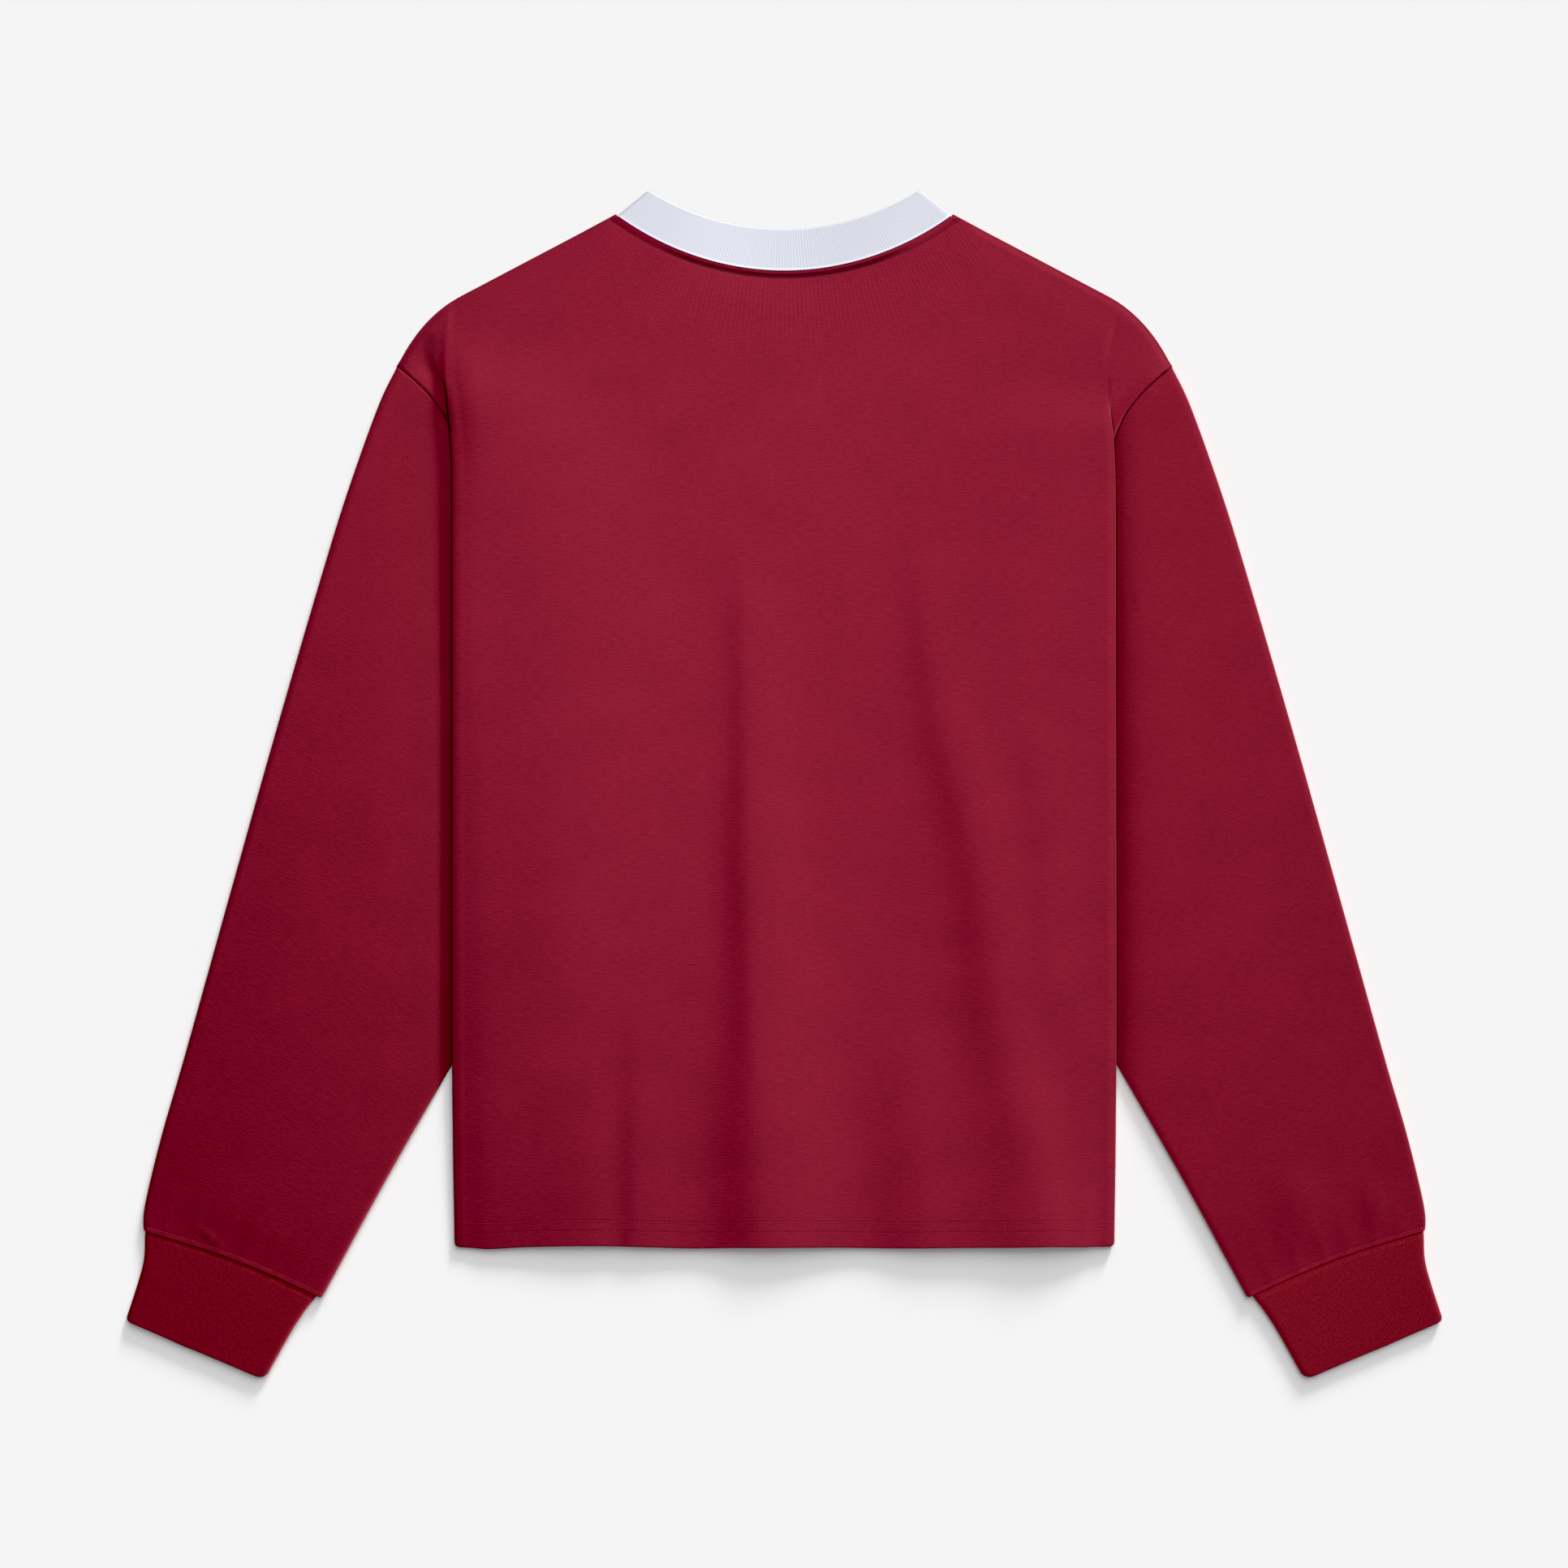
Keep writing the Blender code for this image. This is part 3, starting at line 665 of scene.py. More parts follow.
@dataclass(frozen=True)
class SeamOrPaintedLightLine:
    """A line at a set distance from a seam or a fold: a groove, a ridge, a band of painted shade or painted
    highlight, or a row of stitches if it has a pitch.

    A pitch turns the line into dashes that cover the share dash of it, and are weaker in patches. A line
    fades out near the seam that clear_of names, and further than within from the middle of the cloth.
    """

    seam: str
    at: float
    half_width: float
    soft: float
    dark: float
    height: float
    pitch: float = 0.0
    dash: float = 0.5
    clear_of: str = ""
    clear_over: tuple[float, float] = (4 * MM, 22 * MM)
    within: float = 0.0
    within_fade: float = 30 * MM
    dash_soft: float = 0.4
    patch: tuple[float, float] = (11 * MM, 9 * MM)
    patch_least: float = 0.4

    def mask(self, bench: NodeBench) -> bpy.types.NodeSocket:
        """1 on the line and 0 off it: a smooth band in the distance, times an uneven wave along the seam."""
        run, apart = bench.map_axes(self.seam)
        off = bench.math("ABSOLUTE", bench.math("SUBTRACT", apart, self.at))
        band = bench.step(off, self.half_width + self.soft, self.half_width)
        if self.clear_of:
            _, beside = bench.map_axes(self.clear_of)
            band = bench.math("MULTIPLY", band, bench.step(bench.math("ABSOLUTE", beside), *self.clear_over))
        if self.within:
            across, _ = bench.map_axes("cloth")
            aside = bench.math("ABSOLUTE", across)
            faded = self.within + self.within_fade
            band = bench.math("MULTIPLY", band, bench.step(aside, faded, self.within))
        if not self.pitch:
            return band
        wave = bench.math("SINE", bench.math("MULTIPLY", run, 2 * math.pi / self.pitch))
        edge = math.cos(math.pi * self.dash)
        patches = bench.step(bench.streaks(self.seam, *self.patch), -0.5, 0.3)
        uneven = bench.math("MULTIPLY_ADD", patches, 1 - self.patch_least, self.patch_least)
        dots = bench.math("MULTIPLY", bench.step(wave, edge - self.dash_soft, edge + self.dash_soft), uneven)
        return bench.math("MULTIPLY", band, dots)


def with_lines(bench: NodeBench, lines: tuple[SeamOrPaintedLightLine, ...], tone: bpy.types.NodeSocket,
               heights: list) -> tuple[bpy.types.NodeSocket, list]:
    """A cloth's tone and its list of heights with the lines along its seams put on.

    Args:
        bench: the material's bench.
        lines: the lines.
        tone: the plain cloth's tone.
        heights: the plain cloth's heights.

    Returns:
        The tone, darkened or brightened on each line, and the heights with one more for each line.
    """
    heights = list(heights)
    for line in lines:
        mask = line.mask(bench)
        tone = bench.math("MULTIPLY", tone, bench.math("MULTIPLY_ADD", mask, -line.dark, 1.0))
        heights.append(bench.math("MULTIPLY", mask, line.height))
    return tone, heights


@dataclass(frozen=True)
class Jersey:
    """Single-knit jersey: its colour, its flecks along the courses, and the lines along its seams and folds,
    some of which are painted shade or painted highlight.

    A length is along the courses and a width across them. fan names the seam that tiny folds fan out from.
    """

    name: str
    lines: tuple[SeamOrPaintedLightLine, ...] = ()
    colour: tuple[float, float, float] = (0.277, 0.0165, 0.0385)
    roughness: float = 0.85
    sheen: float = 0.10
    fleck_length: float = 6 * MM
    fleck_width: float = 0.9 * MM
    fleck: float = 0.27
    grain_size: tuple[float, float] = (1.6 * MM, 1.0 * MM)
    grain: float = 0.22
    mottle_size: tuple[float, float] = (45 * MM, 30 * MM)
    mottle: float = 0.09
    relief: float = 0.05 * MM
    fan: str | None = None
    fan_pitch: float = 2.4 * MM
    fan_height: float = 0.021 * MM
    fan_patch: tuple[float, float] = (9 * MM, 40 * MM)
    fan_wander: float = 1.6
    fan_in: tuple[float, float] = (4 * MM, 9 * MM)
    fan_out: tuple[float, float] = (75 * MM, 20 * MM)

    def material(self) -> bpy.types.Material:
        """The material: flecks, grain and mottling in tone and relief, then the lines along the seams and
        folds, with their painted shade and highlights.

        Returns:
            The jersey's material.
        """
        bench = NodeBench(self.name, self.colour, self.roughness, self.sheen)
        fleck = bench.streaks("cloth", self.fleck_length, self.fleck_width)
        grain = bench.streaks("cloth", *self.grain_size, detail=3.0)
        mottle = bench.streaks("cloth", *self.mottle_size, detail=1.0)
        tones = [bench.math("MULTIPLY_ADD", fleck, self.fleck, 1.0),
                 bench.math("MULTIPLY", grain, self.grain), bench.math("MULTIPLY", mottle, self.mottle)]
        tone = bench.total(tones)
        heights = [bench.math("MULTIPLY", fleck, self.relief), bench.math("MULTIPLY", grain, self.relief / 2)]
        tone, heights = with_lines(bench, self.lines, tone, heights)
        if self.fan:
            heights.append(self.fan_ripples(bench))
        return bench.finish(self.colour, tone, bench.total(heights))

    def fan_ripples(self, bench: NodeBench) -> bpy.types.NodeSocket:
        """Tiny folds that fan out from a seam: a sine of the run, faded in and out with the distance."""
        run, apart = bench.map_axes(self.fan)
        wander = bench.math("MULTIPLY", bench.streaks(self.fan, *self.fan_patch), self.fan_wander)
        phase = bench.math("MULTIPLY_ADD", run, 2 * math.pi / self.fan_pitch, wander)
        near = bench.math("MULTIPLY", bench.step(apart, *self.fan_in), bench.step(apart, *self.fan_out))
        wave = bench.math("MULTIPLY", bench.math("SINE", phase), self.fan_height)
        return bench.math("MULTIPLY", wave, near)


@dataclass(frozen=True)
class Rib:
    """1x1 rib knit: its colour, its wales across the band, and the lines along its seam, some of which are
    painted shade or painted highlight.

    Sizes of patches and grain are given round the band, then across it.
    """

    name: str
    colour: tuple[float, float, float]
    lines: tuple[SeamOrPaintedLightLine, ...] = ()
    roughness: float = 0.88
    sheen: float = 0.10
    pitch: float = 1.75 * MM
    wale_tone: float = 0.03
    wale_height: float = 0.10 * MM
    wander_size: tuple[float, float] = (9 * MM, 30 * MM)
    wander: float = 1.6
    patch: tuple[float, float] = (25 * MM, 18 * MM)
    grain_size: tuple[float, float] = (1.4 * MM, 1.8 * MM)
    grain: float = 0.03

    def material(self) -> bpy.types.Material:
        """The material: wales as a sine of the run round the band, less clear in patches, and a fine grain.

        Returns:
            The rib's material.
        """
        bench = NodeBench(self.name, self.colour, self.roughness, self.sheen)
        run, _ = bench.map_axes("rib")
        wander = bench.math("MULTIPLY", bench.streaks("rib", *self.wander_size), self.wander)
        wale = bench.math("SINE", bench.math("MULTIPLY_ADD", run, 2 * math.pi / self.pitch, wander))
        clear = bench.step(bench.streaks("rib", *self.patch), -0.6, 0.5)
        wale = bench.math("MULTIPLY", wale, clear)
        grain = bench.streaks("rib", *self.grain_size, detail=3.0)
        tone = bench.total([bench.math("MULTIPLY_ADD", wale, self.wale_tone, 1.0),
                            bench.math("MULTIPLY", grain, self.grain)])
        heights = [bench.math("MULTIPLY", wale, self.wale_height),
                   bench.math("MULTIPLY", grain, self.wale_height / 2)]
        tone, heights = with_lines(bench, self.lines, tone, heights)
        return bench.finish(self.colour, tone, bench.total(heights))


# The sewn pieces


def denser_near_start(count: int, close: int, close_share: float) -> Array:
    """Shares from 0 to 1, with the first few steps close together.

    Args:
        count: how many shares.
        close: how many steps lie in the first part.
        close_share: how far the first part reaches.

    Returns:
        The shares, from 0 to 1.
    """
    first = np.linspace(0.0, close_share, close + 1)[:-1]
    return np.concatenate([first, np.linspace(close_share, 1.0, count - close)])


def rounded_corner(from_edge: Array, radius: float) -> Array:
    """How far a side edge draws in near an end edge: r - sqrt(r^2 - (r - d)^2) at distance d."""
    left = np.clip(radius - from_edge, 0.0, radius)
    return radius - np.sqrt(radius**2 - left**2)


@dataclass
class BackPanel:
    """The back panel: its top layer, and the sides folded under it to the armholes and side seams."""

    lay: Lay
    wall: float = 0.8 * MM
    hem_apart: float = 0.8 * MM
    hem_depth: float = 16 * MM
    hem_rows: int = 14
    body_rows: int = 150
    top_rows: int = 36
    main_columns: int = 70
    hidden_columns: int = 20
    turn_columns: int = 9
    fold_pinch: float = 0.5
    top_start: float = 205 * MM
    last_straight_y: float = 250 * MM
    corner_radius: float = 2.4 * MM
    corner_reach: float = 20 * MM
    close_top_rows: int = 14
    close_top_share: float = 0.10
    armhole_columns: int = 12
    hem_edge_rows: tuple[float, ...] = (3.0 * MM, 2.0 * MM, 1.2 * MM, 0.6 * MM, 0.25 * MM, 0.0)
    strip: float = 1.8 * MM
    groove: float = 4.6 * MM
    strip_rise: float = 0.30 * MM
    groove_fall: float = 0.45 * MM
    edge_curl: float = 0.8 * MM
    edge_curl_width: float = 5 * MM
    edge_curl_fade: float = 20 * MM
    wave_fade: float = 0.5
    key_rows: tuple[float, ...] = (
        0.250, 0.240, 0.228, 0.214, 0.196, 0.172, 0.146, 0.118, 0.095, 0.083, 0.070, 0.055, 0.015, -0.030,
        -0.075, -0.110, -0.135, -0.155, -0.175, -0.195, -0.215, -0.250, -0.2853)
    shoulder_crease: tuple[tuple[float, float], ...] = (
        (-0.2178, 0.2738), (-0.2163, 0.2628), (-0.2138, 0.2518), (-0.2108, 0.2408), (-0.2088, 0.2302),
        (-0.2078, 0.2178))
    hem_waves: tuple[tuple[float, float, float], ...] = (
        (-183 * MM, 16 * MM, -1.3 * MM), (-120 * MM, 34 * MM, 1.0 * MM), (-55 * MM, 22 * MM, -0.7 * MM),
        (70 * MM, 30 * MM, -0.6 * MM), (165 * MM, 20 * MM, 0.6 * MM))

    def turn(self, side: SideFold, y: Array) -> Array:
        """The fold's half turn at each row: x = edge + k r (sin a - 1) and z = low + r + r cos a.

        r is half the step between the layers, and k squeezes the turn sideways.

        Args:
            side: the fold.
            y: the rows' y, as a column.

        Returns:
            A grid of rows by turn_columns of (across, height).
        """
        edge = self.lay.fold_across(side, y)
        top = self.lay.body_height(edge - self.lay.fold_margin, side, y)
        low = self.lay.tuck_height(edge, side, y)
        angle = np.linspace(0.0, np.pi, self.turn_columns)
        radius = (top - low) / 2
        squeezed = self.fold_pinch * radius * (np.sin(angle) - 1)
        return np.stack([edge + squeezed, low + radius * (1 + np.cos(angle))], axis=-1)

    def hidden(self, side: SideFold, y: float) -> Array:
        """The section inside the fold at a key row.

        Above the underarm it runs in, turns back, and runs out to the armhole. Below it, it runs in and down
        to the side seam.

        Args:
            side: the fold.
            y: the key row.

        Returns:
            hidden_columns rows of (across, height).
        """
        lay, cut = self.lay, self.lay.cut
        edge, inside = float(lay.fold_across(side, y)), float(lay.inside_across(side, y))
        under = float(lay.tuck_height(edge, side, y))
        if y <= cut.underarm[1]:
            end = float(cut.end_across(y)) + cut.seam_gap / 2
            run = np.linspace(edge - 5 * MM, end, self.hidden_columns)
            return np.column_stack([run, lay.tuck_height(run, side, y)])
        near_underarm = float(smooth((cut.underarm[1] + cut.underarm_reach - y) / (cut.underarm_reach / 2)))
        end = float(cut.end_across(y)) - cut.seam_gap * (1 + 3 * near_underarm)
        angle = np.linspace(0.0, np.pi, self.turn_columns)
        radius = (under - lay.second_layer) / 2
        back = np.column_stack([inside + radius * (1 - np.sin(angle)),
                                lay.second_layer + radius * (1 + np.cos(angle))])
        runs = self.hidden_columns - self.turn_columns
        inward = np.linspace(edge - radius, inside + radius, runs // 2 + 2)[1:-1]
        outward = np.linspace(inside + radius, end, runs - runs // 2 + 1)[1:]
        return np.vstack([np.column_stack([inward, np.full(len(inward), under)]), back,
                          np.column_stack([outward, lay.second_height(outward, side, y)])])

    def side_section(self, side: SideFold, y: Array) -> Array:
        """The section outside the top layer at each row: flat above the fold's start, folded below it."""
        lay, cut = self.lay, self.lay.cut
        keys = np.array(self.key_rows)
        sections = np.array([self.hidden(side, key) for key in keys])
        at = np.interp(-y[:, 0], -keys, np.arange(len(keys)))
        low = np.clip(at.astype(int), 0, len(keys) - 2)
        part = (at - low)[:, None, None]
        inner = sections[low] * (1 - part) + sections[low + 1] * part
        folded = np.concatenate([self.turn(side, y), inner], axis=1)
        start = lay.fold_across(side, y) - lay.fold_margin
        end = cut.end_across(y) - cut.sewn_gap
        share = np.arange(1, folded.shape[1] + 1) / folded.shape[1]
        across = start + (end - start) * share
        top = lay.body_height(start, side, y)
        fall = smooth(share / side.steep) if side.steep else share
        flat = np.stack([across, top + (lay.second_height(end, side, y) - top) * fall], axis=-1)
        return flat + (folded - flat) * side.share(y)[..., None]

    def rows_y(self) -> Array:
        """y of the straight rows, closer together at the hem."""
        cut = self.lay.cut
        last = cut.back_hem_y + (self.hem_apart + self.wall) / 2
        hem_start = last + self.hem_depth
        near_edge = np.array(self.hem_edge_rows)
        body = np.linspace(self.last_straight_y, hem_start, self.body_rows + 1)[:-1]
        hem = np.linspace(hem_start, last + near_edge[0], self.hem_rows - len(near_edge) + 1)[:-1]
        return np.concatenate([body, hem, last + near_edge])[:, None]

    def half(self, side: SideFold) -> Array:
        """One half of the panel, with distances from the centre line for x.

        Args:
            side: the fold on this half.

        Returns:
            A grid of points.
        """
        lay, cut = self.lay, self.lay.cut
        y = self.rows_y()
        shares = np.linspace(0.0, 1.0, self.main_columns)
        across = shares * (lay.fold_across(side, y) - lay.fold_margin)
        main = np.stack([across, np.broadcast_to(y, across.shape), lay.body_height(across, side, y)], axis=-1)
        section = self.side_section(side, y)
        outer = np.stack([section[..., 0], np.broadcast_to(y, section.shape[:2]), section[..., 1]], axis=-1)
        body = np.concatenate([main, outer], axis=1)
        corner = rounded_corner(y - y[-1], self.corner_radius)
        near_side = smooth(1 - (lay.fold_across(side, y) - body[..., 0]) / self.corner_reach)
        body[..., 0] -= corner * near_side
        head = cut.sleeve_head[0] - cut.sewn_gap
        beyond = np.linspace(self.top_start, head, outer.shape[1] + 1)[1:]
        across = np.concatenate([shares * self.top_start, beyond])
        edge = np.column_stack([across, cut.top_edge(across, cut.back_neck_y), lay.neck_height(across)])
        share = denser_near_start(self.top_rows + 1, self.close_top_rows, self.close_top_share)
        share = share[:-1, None, None]
        top = edge + (body[0] - edge) * share
        inner = top[:, :self.main_columns]
        inner[..., 2] = lay.body_height(inner[..., 0], side, inner[..., 1])
        return np.concatenate([top, body])

    def surface(self) -> Surface:
        """The whole panel, with its neck seam, curled shoulder edge and turned-up hem.

        Returns:
            The surface, with the maps cloth, neck, armhole, hem, fold and crease.
        """
        cut = self.lay.cut
        left, right = self.half(LEFT_FOLD), self.half(RIGHT_FOLD)
        points = np.concatenate([left[:, :0:-1] * (-1, 1, 1), right], axis=1)
        neck_x = np.linspace(-cut.neck_point[0], cut.neck_point[0], 400)
        neckline = np.column_stack([neck_x, cut.neckline(neck_x, cut.neck_point, cut.back_neck_y)])
        places = points[..., :2]
        mirrored = np.abs(places) * (1, 0) + places * (0, 1)
        neck = seam_map(places, neckline)
        shoulder = seam_map(mirrored, cut.shoulder)
        armhole = seam_map(mirrored, cut.armhole)
        armhole[:, self.armhole_columns:-self.armhole_columns, 1] = 1.0
        neck[..., 0] -= lengths(neckline)[-1] / 2
        top_layer = np.zeros(points.shape[:2], bool)
        top_layer[:self.top_rows + 1] = True
        strip = self.strip_rise * bell((neck[..., 1] - self.strip / 2) / self.strip)
        middle, width = (self.strip + self.groove) / 2, (self.groove - self.strip) / 2
        groove = self.groove_fall * bell((neck[..., 1] - middle) / width)
        points[..., 2] += np.where(top_layer, strip - groove, 0.0)
        curl = self.edge_curl * (1 - smooth(shoulder[..., 1] / self.edge_curl_width))
        curl = curl * smooth((neck[..., 1] - self.groove) / self.edge_curl_fade)
        points[..., 2] -= np.where(top_layer, curl, 0.0)
        low_share = smooth((self.last_straight_y / 2 - points[..., 1]) / self.wave_fade)
        wave = sum(height * bell((points[..., 0] - x) / width) for x, width, height in self.hem_waves)
        run = np.concatenate([np.zeros((len(points), 1)),
                              np.cumsum(np.linalg.norm(np.diff(points, axis=1), axis=2), axis=1)], axis=1)
        cloth = np.stack([run - run[:, [left.shape[1] - 1]], points[..., 1]], axis=-1)
        last = points[-1, 0, 1]
        hem = np.stack([cloth[..., 0], points[..., 1] - last], axis=-1)
        points[..., 1] += wave * low_share
        on_left, on_right = (self.lay.fold_across(side, places[..., 1]) for side in (LEFT_FOLD, RIGHT_FOLD))
        beside = np.abs(np.where(places[..., 0] < 0, on_left, on_right) - mirrored[..., 0])
        beside[:self.top_rows] = 1.0
        fold = np.stack([places[..., 1], beside], axis=-1)
        crease = seam_map(places, curve(self.shoulder_crease))
        maps = {"cloth": cloth, "neck": neck, "armhole": armhole, "hem": hem, "fold": fold, "crease": crease}
        return Surface(points, maps).turned_over(self.hem_apart, self.hem_rows)

    def finish(self, panel: str = "back") -> Jersey:
        """The jersey of the back or front, with the lines of its neck, armholes, hem, fold and crease. Painted
        shade darkens the neck's groove, the fold's edge and the shoulder crease, and a painted highlight runs
        along the hem's ridge.

        Args:
            panel: back or front. The front has no fold and no crease, nor their painted shade.

        Returns:
            The finish.
        """
        clear_of = "fold" if panel == "back" else ""
        stitch = dict(half_width=0.25 * MM, soft=0.35 * MM, dark=0.38, height=-0.10 * MM, pitch=1.65 * MM,
                      clear_of=clear_of)
        lines = (
            # The first two neck lines darken the groove below the rib: painted shade, on top of the groove in
            # the bump.
            SeamOrPaintedLightLine("neck", 3.3 * MM, 1.2 * MM, 0.5 * MM, dark=0.55, height=-0.10 * MM, within=58 * MM),
            SeamOrPaintedLightLine("neck", 4.0 * MM, 0.4 * MM, 1.8 * MM, dark=0.22, height=-0.10 * MM),
            SeamOrPaintedLightLine("neck", 4.8 * MM, 0.4 * MM, 0.5 * MM, dark=0.35, height=-0.10 * MM, pitch=1.5 * MM),
            SeamOrPaintedLightLine("neck", 0.0, 0.2 * MM, 0.5 * MM, dark=0.35, height=0.0),
            SeamOrPaintedLightLine("armhole", 0.0, 0.35 * MM, 0.6 * MM, dark=0.40, height=-0.12 * MM),
            SeamOrPaintedLightLine("hem", 15.4 * MM, **stitch),
            SeamOrPaintedLightLine("hem", 9.2 * MM, **stitch),
            # Painted shade along the edge of the side fold and along the shoulder crease.
            SeamOrPaintedLightLine("fold", 0.0, 0.4 * MM, 1.6 * MM, dark=0.20, height=0.0),
            SeamOrPaintedLightLine("crease", 0.0, 0.5 * MM, 7.0 * MM, dark=0.34, height=0.0),
            # A painted highlight along the ridge at the top of the hem's turn-up, beside its small bump.
            SeamOrPaintedLightLine("hem", 14.6 * MM, 0.2 * MM, 0.5 * MM, dark=-0.05, height=0.05 * MM),
        )
        if panel == "front":
            lines = tuple(line for line in lines if line.seam not in ("fold", "crease"))
        return Jersey(f"red jersey, {panel}", lines, fan="neck")

    def build(self) -> bpy.types.Object:
        """Makes the piece."""
        made = self.surface().piece("back_panel", self.wall, Slot.RED_JERSEY, self.finish().material())
        return made


@dataclass
class FrontPanel:
    """The front panel: flat on the surface below everything, with its own deeper neckline."""

    lay: Lay
    wall: float = 0.8 * MM
    height: float = 0.42 * MM
    hem_apart: float = 0.75 * MM
    hem_depth: float = 16 * MM
    columns: int = 60
    top_rows: int = 16
    body_rows: int = 60
    hem_rows: int = 6
    under_sleeve: float = 0.7 * MM
    key_rows: tuple[float, ...] = (
        0.228, 0.214, 0.196, 0.172, 0.146, 0.118, 0.095, 0.083, 0.070, 0.055, -0.030, -0.110, -0.195, -0.2835)

    def surface(self) -> Surface:
        """A grid whose rows run from the neckline and shoulders to the hem, outer face down.

        Returns:
            The surface, with the maps cloth, neck, armhole and hem.
        """
        cut = self.lay.cut
        last = cut.front_hem_y + (self.hem_apart + self.wall) / 2
        shares = np.linspace(0.0, 1.0, self.columns)
        head = cut.sleeve_head[0] + self.under_sleeve
        edge_x = shares * head
        edge = np.column_stack([edge_x, cut.top_edge(edge_x, cut.front_neck_y, cut.front_neck_power)])
        y = np.concatenate([np.linspace(self.key_rows[0], last + self.hem_depth, self.body_rows)[:-1],
                            np.linspace(last + self.hem_depth, last, self.hem_rows)])[:, None]
        keys = np.array(self.key_rows)
        past_seam = np.where(keys > cut.underarm[1], self.under_sleeve, -cut.seam_gap)
        side = np.interp(-y, -keys, cut.end_across(keys) + past_seam)
        body = np.stack([shares * side, np.broadcast_to(y, (len(y), self.columns))], axis=-1)
        share = np.linspace(0.0, 1.0, self.top_rows + 1)[:-1, None, None]
        half = np.concatenate([edge + (body[0] - edge) * share, body])
        plan = np.concatenate([half[:, ::-1], half[:, 1:] * (-1, 1)], axis=1)
        points = np.concatenate([plan, np.full((*plan.shape[:2], 1), self.height)], axis=2)
        neck_x = np.linspace(-cut.neck_point[0], cut.neck_point[0], 300)
        low = cut.neckline(neck_x, cut.neck_point, cut.front_neck_y, cut.front_neck_power)
        mirrored = np.abs(plan) * (1, 0) + plan * (0, 1)
        maps = {"cloth": plan.copy(), "neck": seam_map(plan, np.column_stack([neck_x, low])),
                "armhole": seam_map(mirrored, cut.armhole),
                "hem": np.stack([plan[..., 0], plan[..., 1] - last], axis=-1)}
        return Surface(points, maps).turned_over(self.hem_apart, self.hem_rows)

    def build(self, finish: Jersey) -> bpy.types.Object:
        """Makes the piece in the back panel's finish."""
        made = self.surface().piece("front_panel", self.wall, Slot.RED_JERSEY, finish.material())
        return made


